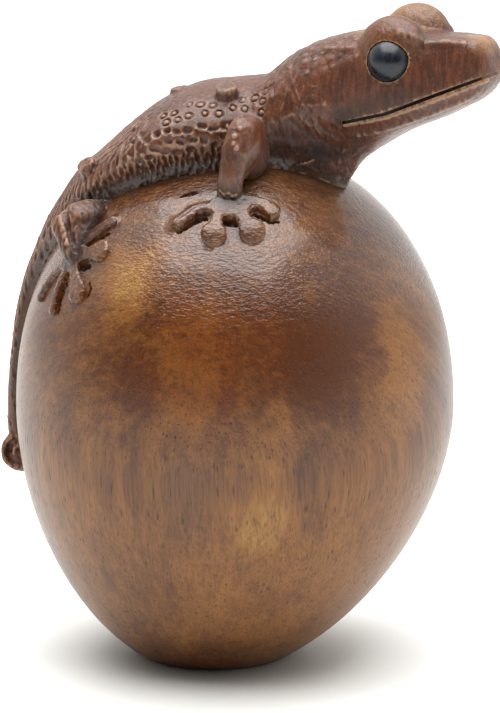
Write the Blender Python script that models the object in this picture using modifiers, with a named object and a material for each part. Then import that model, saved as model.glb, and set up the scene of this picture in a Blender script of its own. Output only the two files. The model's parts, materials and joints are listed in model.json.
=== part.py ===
"""A gecko lying over an egg-shaped ball, carved from one block of wood, with two bead eyes.

Metres, +Z up. The origin is the middle of the flat foot under the ball. The gecko's head
points along +X, its tail runs down the -X side, and its right side faces -Y.
"""
import math

import bmesh
import bpy
from mathutils import Matrix, Vector

# The ball: an egg of revolution that leans a little towards the head
BALL_RADIUS = 0.0415
WAIST_HEIGHT = 0.0485
CROWN_RISE = 0.0493
FOOT_RADIUS = 0.0145
BALL_LEAN = 0.0041
CROWN_POWER = 2.15
TAPER_POWER = 1.78
LEAN_POWER = 1.6
TAPER_DEPTH = WAIST_HEIGHT / (1 - (FOOT_RADIUS / BALL_RADIUS) ** TAPER_POWER) ** (1 / TAPER_POWER)
BALL_SIDES = 44
BALL_RINGS = 22

# The gecko: its carving is drawn on a grid of its own length, one unit being a 150th of it
GECKO_LENGTH = 0.150
UNIT = GECKO_LENGTH / 150
HEAD_TURN = math.radians(13.0)
HEAD_LIFT = math.radians(22.5)
BODY_SIDES = 20
LIMB_SIDES = 10
LIMB_POWER = 2.4

# The eyes: bought beads set in drilled sockets
EYE_DIAMETER = 0.0080
EYE_SIDES = 16
EYE_GAP = 0.0003

# The carved mouth line and the feet
MOUTH_HEIGHT = 0.0010
MOUTH_DEPTH = 0.0016
TOE_HEIGHT = 0.0014
PIT_DEPTH = 0.0013
ROOT_DEPTH = 0.0016
TOE_EDGE = 0.0003
PIT_EDGE = 0.0001

# Trunk and tail: degrees from the top of the ball, half width, back height over the ball,
# height of the widest line, depth below it
TRUNK = (
    (103.0, 2.1, 4.4, 0.6, 3.0),
    (97.0, 2.3, 4.0, 0.6, 3.0),
    (88.0, 2.8, 3.5, 0.5, 3.0),
    (78.0, 3.4, 3.2, 0.4, 3.0),
    (69.0, 4.1, 3.4, 0.4, 3.0),
    (60.0, 5.0, 3.7, 0.3, 3.5),
    (52.0, 6.4, 4.0, 0.2, 4.0),
    (45.0, 8.8, 4.7, 0.2, 5.0),
    (39.0, 12.0, 5.2, 0.2, 7.0),
    (33.0, 14.8, 6.2, 0.6, 9.0),
    (27.0, 16.6, 6.6, 1.2, 11.0),
    (20.0, 18.0, 8.3, 2.0, 12.5),
    (13.0, 18.6, 10.7, 2.8, 13.5),
    (6.0, 18.0, 12.6, 3.2, 14.0),
    (0.0, 16.8, 13.2, 3.4, 13.5),
    (-4.5, 15.2, 14.0, 4.0, 13.0),
)
BACK_POWER = 1.95
FLANK_POWER = 2.1

# Neck and head: distance forward, half width, top, underside, height of the widest line,
# roundness above and below
HEAD = (
    (0.5, 13.4, 13.2, -12.0, 4.0, 2.0, 1.25),
    (4.0, 12.4, 14.2, -13.5, 4.0, 2.1, 1.15),
    (8.0, 11.6, 15.2, -10.6, 4.0, 2.2, 1.3),
    (12.0, 11.1, 15.4, -8.2, 3.5, 2.3, 1.6),
    (16.5, 10.8, 15.0, -7.0, 2.5, 2.4, 2.0),
    (21.0, 10.7, 14.2, -6.2, 1.5, 2.6, 2.6),
    (26.0, 10.4, 13.0, -6.0, 1.0, 2.9, 2.9),
    (30.5, 9.6, 11.0, -6.0, 0.6, 3.3, 3.0),
    (34.5, 8.2, 8.8, -5.7, 0.4, 3.8, 3.0),
    (38.5, 6.8, 7.0, -5.2, 0.3, 4.2, 2.9),
    (41.2, 5.7, 5.5, -4.0, 0.2, 4.0, 2.8),
    (42.6, 4.7, 4.5, -2.9, 0.2, 3.6, 2.6),
    (43.3, 3.2, 3.4, -1.6, 0.2, 3.0, 2.4),
)
SKULL_ALONG = -13.0
SKULL_SIDE = 0.9
SKULL_HEIGHT = 3.6
BROW_RADII = (6.6, 4.6, 6.4)
BROW_SIDES = 14
BROW_RINGS = 10
BROW_PLACE = (28.4, 5.5, 9.2)
EYE_PLACE = (27.5, 8.3, 6.7)
MOUTH_START = (15.2, -0.7)
MOUTH_LEVEL = -2.0
MOUTH_BEND = 24.0
MOUTH_OVERCUT = 2.0
SNOUT_TIP = 43.3

# Limbs of the right side, from the trunk outward: degrees down the back, degrees out and units
# up, then half width and half depth
LIMBS = {
    "upper arm": (((-6.6, 11.0, 3.5), 3.8, 5.5), ((-6.8, 16.5, 5.0), 3.5, 5.8),
                  ((-6.7, 20.0, 5.8), 3.1, 5.6), ((-6.0, 23.4, 5.0), 2.5, 4.8)),
    "forearm": (((-6.2, 17.4, 10.6), 1.6, 1.3), ((-5.8, 19.4, 11.0), 2.5, 2.0),
                ((-5.4, 21.6, 9.4), 2.7, 2.5), ((-5.2, 24.6, 6.3), 2.6, 2.4),
                ((-5.3, 27.2, 3.4), 2.3, 2.2), ((-5.4, 28.1, 2.0), 2.7, 2.4),
                ((-5.5, 29.0, -1.0), 2.8, 2.6)),
    "thigh": (((28.0, 18.8, 0.0), 3.0, 3.2), ((31.5, 22.0, 1.4), 3.3, 3.5),
              ((34.8, 23.4, 2.8), 3.2, 3.3), ((36.8, 23.6, 3.4), 2.2, 2.4)),
    "calf": (((32.6, 23.0, 1.8), 3.2, 2.8), ((34.8, 26.4, 1.4), 2.9, 2.4),
             ((37.2, 30.0, 0.4), 1.9, 1.8)),
    "shin": (((36.4, 21.8, 4.4), 1.3, 1.2), ((36.9, 23.2, 4.2), 2.0, 1.9),
             ((37.4, 27.0, 2.8), 1.9, 1.8), ((38.0, 30.6, 1.3), 1.6, 1.6),
             ((38.2, 32.0, -0.6), 1.9, 1.6)),
}

# Feet: places across the foot, forward and outward from the middle of its palm. A toe has a
# root, a bend, the middle of its pad and the pad's radius; a pit has two ends and a half width
FRONT_FOOT = (-5.7, 28.2)
FRONT_PALM = (3.3, 2.4)
FRONT_TOES = (
    ((-1.3, 0.6), (-5.2, 2.6), (-8.0, 6.2), 1.0),
    ((-0.6, 1.0), (-0.7, 4.4), (-0.5, 7.9), 2.4),
    ((1.8, 0.7), (3.8, 2.6), (6.2, 5.3), 2.5),
    ((1.6, -1.0), (5.6, -2.7), (8.3, -0.8), 1.6),
)
FRONT_PITS = (
    ((-9.0, -1.3), (-7.0, -2.2), 0.7),
    ((-3.0, 4.0), (-6.6, 7.2), 0.75),
    ((1.3, 4.1), (2.3, 3.9), 1.0),
    ((5.8, 1.0), (9.0, 1.6), 0.7),
)
HIND_FOOT = (37.4, 30.4)
HIND_PALM = (3.0, 2.2)
HIND_TOES = (
    ((1.5, -1.4), (6.5, -2.0), (10.2, -1.7), 0.9),
    ((1.2, 0.0), (3.2, 1.6), (5.6, 3.7), 2.3),
    ((-0.6, 0.8), (-1.4, 4.4), (-2.2, 8.0), 2.2),
    ((-2.0, -0.1), (-5.3, 1.3), (-8.8, 4.6), 1.2),
    ((-2.6, -1.3), (-6.2, -2.4), (-10.2, -1.8), 1.0),
)
HIND_PITS = (
    ((4.4, 0.2), (8.2, 0.2), 0.7),
    ((0.6, 3.5), (1.5, 4.2), 1.1),
    ((-4.6, 3.4), (-7.4, 5.6), 0.8),
    ((-6.6, -0.6), (-8.8, -0.1), 0.6),
    ((0.7, 8.0), (-0.2, 10.0), 0.5),
)

# Raised warts: degrees from the top of the ball, share of the half width, radius, height
WARTS = (
    (9.6, -0.12, 1.8, 0.6),
    (-1.0, -0.62, 2.1, 1.5),
    (28.0, -0.80, 2.0, 1.3),
    (15.5, -0.70, 1.5, 0.4),
    (4.0, 0.78, 2.0, 1.3),
    (19.0, 0.78, 2.0, 1.3),
    (33.0, 0.66, 1.7, 1.1),
)
WART_SIDES = 14
WART_ROOT = 1.2

# The tail's tip, rolled into a scroll: its place, its band and how far the band winds
SCROLL_ALONG = 105.6
SCROLL_LIFT = 2.1
SCROLL_RADIUS = 4.6
SCROLL_BAND = 0.75
SCROLL_HALF_WIDTH = 2.3
SCROLL_TURNS = 1.3
SCROLL_SHRINK = 0.72
SCROLL_START = math.radians(200)
SCROLL_STEPS = 18
SCROLL_SIDES = 8


def lean_at(height):
    """How far the ball's axis has moved towards the head at a height over the table."""
    below = max(0.0, 1.0 - height / WAIST_HEIGHT)
    return BALL_LEAN * (1.0 - below ** LEAN_POWER)


def ball_skin(direction):
    """The point of the ball's surface that lies in a direction from its middle."""
    ray = direction.normalized()
    level = math.hypot(ray.x, ray.y)
    depth, power = (CROWN_RISE, CROWN_POWER) if ray.z >= 0 else (TAPER_DEPTH, TAPER_POWER)
    reach = ((level / BALL_RADIUS) ** power + (abs(ray.z) / depth) ** power) ** (-1 / power)
    height = WAIST_HEIGHT + ray.z * reach
    return Vector((ray.x * reach + lean_at(height), ray.y * reach, height))


def over_ball(along, side, height):
    """A point over the ball: degrees down its back, degrees out to the right, and units up."""
    back, out = math.radians(along), math.radians(side)
    ray = Vector((-math.sin(back) * math.cos(out), -math.sin(out), math.cos(back) * math.cos(out)))
    return ball_skin(ray) + ray * height * UNIT


def superellipse(middle, across, up, half_width, rise, drop, powers, sides):
    """A closed ring that may be rounder above its widest line than below it."""
    ring = []
    for k in range(sides):
        turn = math.tau * k / sides
        power = powers[0] if math.sin(turn) >= 0 else powers[1]
        reach = rise if math.sin(turn) >= 0 else drop
        x = math.copysign(abs(math.cos(turn)) ** (2 / power), math.cos(turn)) * half_width
        y = math.copysign(abs(math.sin(turn)) ** (2 / power), math.sin(turn)) * reach
        ring.append(middle + across * x + up * y)
    return ring


def collection(name):
    group = bpy.data.collections.new(name)
    bpy.context.scene.collection.children.link(group)
    return group


def new_object(name, mesh, group):
    thing = bpy.data.objects.new(name, mesh)
    group.objects.link(thing)
    return thing


def closed_mesh(name, build, group):
    """An object from a bmesh that a function fills, with its faces turned outward."""
    shape = bmesh.new()
    build(shape)
    bmesh.ops.recalc_face_normals(shape, faces=shape.faces)
    mesh = bpy.data.meshes.new(name)
    shape.to_mesh(mesh)
    shape.free()
    return new_object(name, mesh, group)


def loft(name, rings, group):
    """A closed skin over rings of equally many points, with a fan over each end."""
    def build(shape):
        loops = [[shape.verts.new(point) for point in ring] for ring in rings]
        for first, second in zip(loops, loops[1:]):
            for k in range(len(first)):
                shape.faces.new((first[k - 1], first[k], second[k], second[k - 1]))
        for loop in (loops[0], loops[-1]):
            tip = shape.verts.new(sum((v.co for v in loop), Vector()) / len(loop))
            for k in range(len(loop)):
                shape.faces.new((loop[k - 1], loop[k], tip))
    return closed_mesh(name, build, group)


def limb(name, stations, group, sides=LIMB_SIDES):
    """A tapering limb along places over the ball: place, half width, half depth."""
    points = [over_ball(*place) for place, _, _ in stations]
    rings = []
    for k, (_, wide, deep) in enumerate(stations):
        run = (points[min(k + 1, len(points) - 1)] - points[max(k - 1, 0)]).normalized()
        across = run.cross(Vector((0, 1, 0)))
        if across.length < 0.3:
            across = Vector((1, 0, 0)) - run * run.x
        across.normalize()
        up = run.cross(across).normalized()
        rings.append(superellipse(points[k], across, up, wide * UNIT, deep * UNIT, deep * UNIT,
                                  (LIMB_POWER, LIMB_POWER), sides))
    return loft(name, rings, group)


def make_ball(group):
    """The ball's profile, turned by a Screw modifier and then leaned towards the head."""
    foot_turn = -math.asin(WAIST_HEIGHT / TAPER_DEPTH)
    profile = []
    for k in range(BALL_RINGS + 1):
        turn = math.pi / 2 + (foot_turn - math.pi / 2) * k / BALL_RINGS
        rise = math.sin(turn)
        power, depth = (CROWN_POWER, CROWN_RISE) if rise >= 0 else (TAPER_POWER, TAPER_DEPTH)
        radius = BALL_RADIUS * max(0.0, 1 - abs(rise) ** power) ** (1 / power)
        profile.append((radius, 0.0, WAIST_HEIGHT + depth * rise))
    profile[0] = (0.0, 0.0, WAIST_HEIGHT + CROWN_RISE)
    profile[-1] = (profile[-1][0], 0.0, 0.0)
    profile.append((0.0, 0.0, 0.0))
    mesh = bpy.data.meshes.new("ball profile")
    mesh.from_pydata(profile, [(k, k + 1) for k in range(len(profile) - 1)], [])
    turned = new_object("turned ball", mesh, group)
    screw = turned.modifiers.new("turn", 'SCREW')
    screw.steps = screw.render_steps = BALL_SIDES
    screw.use_merge_vertices = True
    screw.merge_threshold = 0.00001
    solid = bpy.data.meshes.new_from_object(turned.evaluated_get(bpy.context.evaluated_depsgraph_get()))
    for vertex in solid.vertices:
        vertex.co.x += lean_at(vertex.co.z)
    bpy.data.objects.remove(turned)
    return solid


def trunk_ring(along, half_width, back, middle_height, drop, sides=BODY_SIDES):
    """One ring of the trunk or tail, square to the ball's curve."""
    middle = over_ball(along, 0, middle_height)
    up = (over_ball(along, 0, 1) - over_ball(along, 0, 0)).normalized()
    rise = (back - middle_height) * UNIT
    return superellipse(middle, Vector((0, 1, 0)), up, half_width * UNIT, rise, drop * UNIT,
                        (BACK_POWER, FLANK_POWER), sides)


def head_frame():
    """The head's origin and its forward, left and up directions."""
    forward = Vector((math.cos(HEAD_TURN) * math.cos(HEAD_LIFT),
                      -math.sin(HEAD_TURN) * math.cos(HEAD_LIFT), math.sin(HEAD_LIFT)))
    left = Vector((math.sin(HEAD_TURN), math.cos(HEAD_TURN), 0))
    return over_ball(SKULL_ALONG, SKULL_SIDE, SKULL_HEIGHT), forward, left, forward.cross(left)


def on_head(forward, left, up):
    """A point of the head, in units along its own directions."""
    origin, ahead, aside, above = head_frame()
    return origin + (ahead * forward + aside * left + above * up) * UNIT


def head_ring(forward, half_width, top, under, middle_height, above_power, below_power, sides=BODY_SIDES):
    _, _, aside, above = head_frame()
    return superellipse(on_head(forward, 0, middle_height), aside, above, half_width * UNIT,
                        (top - middle_height) * UNIT, (middle_height - under) * UNIT,
                        (above_power, below_power), sides)


def head_half_width(forward):
    """Half the head's width at a distance forward, read between its rings."""
    for (start, wide_a, *_), (stop, wide_b, *_) in zip(HEAD, HEAD[1:]):
        if start <= forward <= stop:
            return wide_a + (wide_b - wide_a) * (forward - start) / (stop - start)
    return HEAD[-1][1]


def make_body(group):
    """Tail, trunk, neck and head in one skin."""
    rings = [trunk_ring(*station) for station in TRUNK]
    rings += [head_ring(*station) for station in HEAD]
    return loft("body", rings, group)


def make_brow(name, hand, group):
    """The dome over one eye; hand is -1 on the right and 1 on the left."""
    ahead, aside, above = BROW_PLACE

    def build(shape):
        _, ahead_way, left_way, up_way = head_frame()
        turn = Matrix((ahead_way, left_way, up_way)).transposed().to_4x4()
        stretch = Matrix.Diagonal((*(radius * UNIT for radius in BROW_RADII), 1))
        place = Matrix.Translation(on_head(ahead, hand * aside, above)) @ turn @ stretch
        bmesh.ops.create_uvsphere(shape, u_segments=BROW_SIDES, v_segments=BROW_RINGS, radius=1,
                                  matrix=place)
    return closed_mesh(name, build, group)


def eye_centre(hand):
    ahead, aside, above = EYE_PLACE
    return on_head(ahead, hand * aside, above)


def make_sphere(name, centre, radius, segments, group):
    def build(shape):
        bmesh.ops.create_uvsphere(shape, u_segments=segments, v_segments=segments // 2, radius=radius,
                                  matrix=Matrix.Translation(centre))
    return closed_mesh(name, build, group)


def make_mouth(group):
    """The cut between the jaws: a thin band that follows the head's outline round the snout."""
    _, _, _, above = head_frame()
    half = MOUTH_HEIGHT / 2
    span = SNOUT_TIP - MOUTH_START[0]
    right = [MOUTH_START[0] + span * share for share in (0, 0.1, 0.25, 0.45, 0.65, 0.82, 0.93, 0.985)]
    rim = [Vector((ahead, -head_half_width(ahead))) for ahead in right]
    rim += [Vector((SNOUT_TIP, 0))] + [Vector((spot.x, -spot.y)) for spot in rim[::-1]]
    rings = []
    for k, spot in enumerate(rim):
        run = (rim[min(k + 1, len(rim) - 1)] - rim[max(k - 1, 0)]).normalized()
        out = Vector((run.y, -run.x))
        blend = min(1.0, (spot.x - MOUTH_START[0]) / (MOUTH_BEND - MOUTH_START[0]))
        level = MOUTH_START[1] + (MOUTH_LEVEL - MOUTH_START[1]) * blend
        inner, outer = spot - out * MOUTH_DEPTH / UNIT, spot + out * MOUTH_OVERCUT
        ring = []
        for place, lift in ((inner, -half), (outer, -half), (outer, half), (inner, half)):
            ring.append(on_head(place.x, place.y, level) + above * lift)
        rings.append(ring)
    return loft("mouth cut", rings, group)


class Foot:
    """A patch of the ball under one foot: places on it are units forward and outward."""

    def __init__(self, along, side, hand):
        self.along, self.side, self.hand = along, side, hand
        self.palm = over_ball(along, side, 0)
        step = 0.5
        self.forward = (over_ball(along - step, side, 0) - self.palm).normalized()
        outward = over_ball(along, side + step, 0) - self.palm
        self.outward = (outward - self.forward * outward.dot(self.forward)).normalized()

    def place(self, forward, outward, height):
        """A point over the patch, at a height in metres over the ball."""
        flat = self.palm + (self.forward * forward + self.outward * outward) * UNIT
        ray = flat - Vector((BALL_LEAN, 0, WAIST_HEIGHT))
        point = ball_skin(ray) + ray.normalized() * height
        return Vector((point.x, -self.hand * point.y, point.z))


def bend(start, middle, end, share):
    """A point on the soft curve from start past middle to end."""
    first = [a + (b - a) * share for a, b in zip(start, middle)]
    second = [a + (b - a) * share for a, b in zip(middle, end)]
    return Vector([a + (b - a) * share for a, b in zip(first, second)])


def ribbon(name, foot, stations, low, high, edge, group):
    """A strip laid on the ball: stations give its middle and half width, edge its top corner."""
    rings = []
    for k, (middle, half) in enumerate(stations):
        before, after = stations[max(k - 1, 0)][0], stations[min(k + 1, len(stations) - 1)][0]
        run = (after - before).normalized()
        side = Vector((-run.y, run.x))
        inset = min(edge, half * UNIT * 0.5) / UNIT
        ring = []
        for offset, height in ((-half, low), (-half, high - edge), (inset - half, high),
                               (half - inset, high), (half, high - edge), (half, low)):
            spot = middle + side * offset
            ring.append(foot.place(spot.x, spot.y, height))
        rings.append(ring)
    return loft(name, rings, group)


def make_toe(name, foot, root, middle, tip, pad, group):
    """A toe that narrows from the palm and ends in a round pad."""
    length = (Vector(tip) - Vector(root)).length
    neck = min(pad * 0.62, 1.3)
    heading = (Vector(tip) - bend(root, middle, tip, 0.9)).normalized()
    stations = [(bend(root, middle, tip, share), neck * (1.25 - 0.25 * share)) for share in (0.0, 0.35)]
    reach = pad / length
    stations.append((bend(root, middle, tip, max(0.5, 1 - 1.25 * reach)), neck))
    for turn in (140, 110, 80, 50, 25):
        ahead, half = math.cos(math.radians(turn)) * pad, math.sin(math.radians(turn)) * pad
        stations.append((Vector(tip) + heading * ahead, max(half, neck if turn > 100 else 0.0)))
    return ribbon(name, foot, stations, -ROOT_DEPTH, TOE_HEIGHT, TOE_EDGE, group)


def make_pit(name, foot, start, end, half, group):
    """A dark slot chiselled between two toes."""
    run = (Vector(end) - Vector(start)).normalized()
    stations = []
    ends = ((start, -0.8, 0.4), (start, -0.3, 0.85), (end, 0.3, 0.85), (end, 0.8, 0.4))
    for spot, reach, width in ends:
        stations.append((Vector(spot) + run * reach * half, half * width))
    return ribbon(name, foot, stations, -PIT_DEPTH, TOE_HEIGHT * 2, PIT_EDGE, group)


def make_palm(name, foot, wide, long, group):
    stations = []
    for turn in (20, 50, 90, 130, 160):
        stations.append((Vector((-math.cos(math.radians(turn)) * wide, 0)), math.sin(math.radians(turn)) * long))
    return ribbon(name, foot, stations, -ROOT_DEPTH, TOE_HEIGHT * 1.1, TOE_EDGE, group)


def mirrored(name, source, group):
    """The same piece on the gecko's left."""
    mesh = source.data.copy()
    mesh.transform(Matrix.Scale(-1, 4, (0, 1, 0)))
    mesh.flip_normals()
    return new_object(name, mesh, group)


def make_limbs(group):
    """Arms, thighs and shins of the right side, and their mirror images on the left."""
    right = [limb(name, stations, group) for name, stations in LIMBS.items()]
    return right + [mirrored(piece.name + " left", piece, group) for piece in right]


def make_feet(group, cuts):
    """The four feet and the pits between their toes."""
    pieces, pits = [], []
    layouts = (("front", FRONT_FOOT, FRONT_PALM, FRONT_TOES, FRONT_PITS),
               ("hind", HIND_FOOT, HIND_PALM, HIND_TOES, HIND_PITS))
    for label, spot, (wide, long), toes, slots in layouts:
        for hand, side in ((-1, "right"), (1, "left")):
            foot = Foot(*spot, hand)
            pieces.append(make_palm(f"{label} palm {side}", foot, wide, long, group))
            for k, toe in enumerate(toes):
                pieces.append(make_toe(f"{label} toe {k + 1} {side}", foot, *toe, group))
            for k, slot in enumerate(slots):
                pits.append(make_pit(f"{label} pit {k + 1} {side}", foot, *slot, cuts))
    return pieces, pits


def trunk_at(along):
    """The trunk's measures at an angle, read between its rings."""
    for low, high in zip(TRUNK[::-1], TRUNK[-2::-1]):
        if low[0] <= along <= high[0]:
            share = (along - low[0]) / (high[0] - low[0])
            return [a + (b - a) * share for a, b in zip(low, high)]
    return TRUNK[-1]


def make_wart(name, along, share, radius, height, group):
    """A short round knob standing on the back."""
    _, half_width, back, middle_height, _ = trunk_at(along)
    rise = (back - middle_height) * (1 - abs(share) ** BACK_POWER) ** (1 / BACK_POWER)
    slope = (back - middle_height) / half_width * abs(share) ** (BACK_POWER - 1)
    slope *= (1 - abs(share) ** BACK_POWER) ** (1 / BACK_POWER - 1)
    up = (over_ball(along, 0, 1) - over_ball(along, 0, 0)).normalized()
    foot = over_ball(along, 0, middle_height + rise) + Vector((0, share * half_width * UNIT, 0))
    axis = (up + Vector((0, math.copysign(slope, share), 0))).normalized()
    sunk, top = -WART_ROOT * UNIT, height * UNIT
    turn = axis.to_track_quat('Z', 'Y').to_matrix().to_4x4()

    def build(shape):
        place = Matrix.Translation(foot + axis * (sunk + top) / 2) @ turn
        bmesh.ops.create_cone(shape, cap_ends=True, segments=WART_SIDES, radius1=radius * UNIT * 1.05,
                              radius2=radius * UNIT * 0.92, depth=top - sunk, matrix=place)
    return closed_mesh(name, build, group)


def make_scroll(group):
    """The tail's tip, rolled outward into a small scroll that stands on the ball."""
    out = (over_ball(SCROLL_ALONG, 0, 1) - over_ball(SCROLL_ALONG, 0, 0)).normalized()
    across = Vector((0, 1, 0))
    down = across.cross(out)
    down = down if down.z < 0 else -down
    middle = over_ball(SCROLL_ALONG, 0, SCROLL_LIFT)
    rings = []
    for k in range(SCROLL_STEPS + 1):
        share = k / SCROLL_STEPS
        turn = SCROLL_START - math.tau * SCROLL_TURNS * share
        thick, wide = SCROLL_BAND * (1 - 0.35 * share), SCROLL_HALF_WIDTH * (1 - 0.2 * share)
        radius = (SCROLL_RADIUS - SCROLL_BAND) * (1 - SCROLL_SHRINK * share)
        ray = (out * math.sin(turn) + down * math.cos(turn)) * UNIT
        rings.append(superellipse(middle + ray * radius, across, ray.normalized(), wide * UNIT,
                                  thick * UNIT, thick * UNIT, (3.0, 3.0), SCROLL_SIDES))
    band = loft("tail scroll", rings, group)

    def build(shape):
        turn = across.to_track_quat('Z', 'Y').to_matrix().to_4x4()
        bmesh.ops.create_cone(shape, cap_ends=True, segments=16, radius1=SCROLL_RADIUS * 0.8 * UNIT,
                              radius2=SCROLL_RADIUS * 0.8 * UNIT, depth=SCROLL_HALF_WIDTH * 1.1 * UNIT,
                              matrix=Matrix.Translation(middle) @ turn)
    return [band, closed_mesh("scroll floor", build, group)]


def wood_material():
    wood = bpy.data.materials.new("varnished_wood")
    wood.use_nodes = True
    shader = wood.node_tree.nodes["Principled BSDF"]
    shader.inputs["Base Color"].default_value = (0.16, 0.065, 0.03, 1)
    shader.inputs["Roughness"].default_value = 0.38
    shader.inputs["Metallic"].default_value = 0.0
    return wood


def bead_material():
    bead = bpy.data.materials.new("black_bead")
    bead.use_nodes = True
    shader = bead.node_tree.nodes["Principled BSDF"]
    shader.inputs["Base Color"].default_value = (0.012, 0.014, 0.017, 1)
    shader.inputs["Roughness"].default_value = 0.12
    shader.inputs["Metallic"].default_value = 0.0
    return bead


def hide(piece):
    piece.hide_render = True
    piece.display_type = 'WIRE'


def use_boolean(target, piece, operation):
    """Joins or cuts a piece. They cross at many shallow angles, where the exact solver loses the ball."""
    cut = target.modifiers.new(f"{operation.lower()} {piece.name}", 'BOOLEAN')
    cut.operation = operation
    cut.solver = 'MANIFOLD'
    cut.object = piece
    hide(piece)


def smooth(thing, degrees):
    thing.data.shade_smooth()
    thing.data.set_sharp_from_angle(angle=math.radians(degrees))


def main():
    for thing in list(bpy.data.objects):
        bpy.data.objects.remove(thing)
    parts = collection("gecko_on_ball")
    stock = collection("shapes_joined_and_cut")

    wood, bead = wood_material(), bead_material()
    carving = new_object("carving", make_ball(stock), parts)
    carving.data.materials.append(wood)

    joined = [make_body(stock)] + make_scroll(stock)
    joined += [make_brow("right brow", -1, stock), make_brow("left brow", 1, stock)]
    joined += make_limbs(stock)
    feet, pits = make_feet(stock, stock)
    joined += feet
    joined += [make_wart(f"wart {k + 1}", *wart, stock) for k, wart in enumerate(WARTS)]
    for piece in joined:
        use_boolean(carving, piece, 'UNION')

    cuts = pits + [make_mouth(stock)]
    for hand, name in ((-1, "right"), (1, "left")):
        centre = eye_centre(hand)
        cuts.append(make_sphere(f"{name} socket", centre, EYE_DIAMETER / 2 + EYE_GAP, EYE_SIDES, stock))
        eye = make_sphere(f"{name}_eye", centre, EYE_DIAMETER / 2, EYE_SIDES, parts)
        eye.data.materials.append(bead)
        smooth(eye, 60)
    for piece in cuts:
        use_boolean(carving, piece, 'DIFFERENCE')
    smooth(carving, 40)


main()
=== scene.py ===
# %% [markdown]
# # A gecko carved from the block
# This lesson dresses a small wooden figurine: a gecko lying over an egg-shaped ball, both cut
# from one piece of brown hardwood, stained, varnished and given two bead eyes. The measured
# solids come first as a fixed frame. Then the carving is drawn again from the same measures,
# finely enough to take tool marks, and it is coloured with nodes that follow the wood's grain.

# %% Load the measured solids
import json
import math

import bmesh
import bpy
import numpy as np
from mathutils import Matrix, Vector, noise as soft_noise
from mathutils.kdtree import KDTree

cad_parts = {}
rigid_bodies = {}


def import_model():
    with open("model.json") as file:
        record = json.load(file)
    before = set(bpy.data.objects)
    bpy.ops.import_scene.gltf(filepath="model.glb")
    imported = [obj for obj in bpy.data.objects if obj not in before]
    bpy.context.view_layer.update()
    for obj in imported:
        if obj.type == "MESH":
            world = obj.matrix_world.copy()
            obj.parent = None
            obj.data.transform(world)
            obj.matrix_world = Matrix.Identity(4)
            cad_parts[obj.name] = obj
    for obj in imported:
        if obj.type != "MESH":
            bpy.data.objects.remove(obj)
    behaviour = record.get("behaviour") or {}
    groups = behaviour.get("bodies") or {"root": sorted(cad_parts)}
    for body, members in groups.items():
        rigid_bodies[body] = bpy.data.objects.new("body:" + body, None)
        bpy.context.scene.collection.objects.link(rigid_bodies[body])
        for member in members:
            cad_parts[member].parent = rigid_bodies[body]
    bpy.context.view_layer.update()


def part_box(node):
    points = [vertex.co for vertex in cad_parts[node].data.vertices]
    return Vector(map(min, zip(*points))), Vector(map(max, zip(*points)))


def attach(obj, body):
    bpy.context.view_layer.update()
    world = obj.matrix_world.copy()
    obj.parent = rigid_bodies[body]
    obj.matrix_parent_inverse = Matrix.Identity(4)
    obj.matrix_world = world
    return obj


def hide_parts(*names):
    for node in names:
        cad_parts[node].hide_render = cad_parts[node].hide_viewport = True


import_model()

# %% [markdown]
# ## The camera
# The photograph was taken from a little above, a little to the right of the ball's front, with
# a long lens: the ball shows almost no perspective. One photograph pixel is 0.19 mm at the
# ball's middle. The camera looks at that middle, and the lens is shifted to frame it as the
# photograph does.

# %% Place the camera
PHOTO_SIZE = (500, 713)
PHOTO_CENTRE = (235.0, 404.3)
PIXEL = 0.00019
VIEW_DISTANCE = 0.7
VIEW_TURN = math.radians(14.0)
VIEW_RISE = math.radians(12.5)
SENSOR = 36.0
aim = Vector((0.0041, 0.0, 0.0485))
away = Vector((math.sin(VIEW_TURN) * math.cos(VIEW_RISE), -math.cos(VIEW_TURN) * math.cos(VIEW_RISE),
               math.sin(VIEW_RISE)))

camera_data = bpy.data.cameras.new("camera")
camera_data.sensor_fit = 'VERTICAL'
camera_data.sensor_height = SENSOR
camera_data.lens = VIEW_DISTANCE / PIXEL * SENSOR / PHOTO_SIZE[1]
camera_data.shift_x = (PHOTO_SIZE[0] / 2 - PHOTO_CENTRE[0]) / PHOTO_SIZE[1]
camera_data.shift_y = (PHOTO_CENTRE[1] - PHOTO_SIZE[1] / 2) / PHOTO_SIZE[1]
camera = bpy.data.objects.new("camera", camera_data)
camera.location = aim + away * VIEW_DISTANCE
camera.rotation_euler = away.to_track_quat('Z', 'Y').to_euler()
bpy.context.scene.collection.objects.link(camera)
bpy.context.scene.camera = camera
print("lens", round(camera_data.lens, 1), "mm")

# %% [markdown]
# ## The ball's skin as a formula
# Everything on this carving sits on the ball, so places are given over its skin: degrees down
# the gecko's back, degrees out to its right, and millimetres up. The ball is an egg of
# revolution with a flat foot, leaning slightly towards the head. Writing the skin as one
# function lets the feet, the limbs, the stain and the painted shade all ask it where the surface is.

# %% The ball
MM = 0.001
BALL_RADIUS = 41.5 * MM
WAIST_HEIGHT = 48.5 * MM
CROWN_RISE = 49.3 * MM
FOOT_RADIUS = 14.5 * MM
BALL_LEAN = 4.1 * MM
CROWN_POWER, TAPER_POWER, LEAN_POWER = 2.15, 1.78, 1.6
TAPER_DEPTH = WAIST_HEIGHT / (1 - (FOOT_RADIUS / BALL_RADIUS) ** TAPER_POWER) ** (1 / TAPER_POWER)


def lean_at(height):
    """How far the ball's axis has moved towards the head at a height."""
    return BALL_LEAN * (1 - np.clip(1 - height / WAIST_HEIGHT, 0, 1) ** LEAN_POWER)


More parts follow.
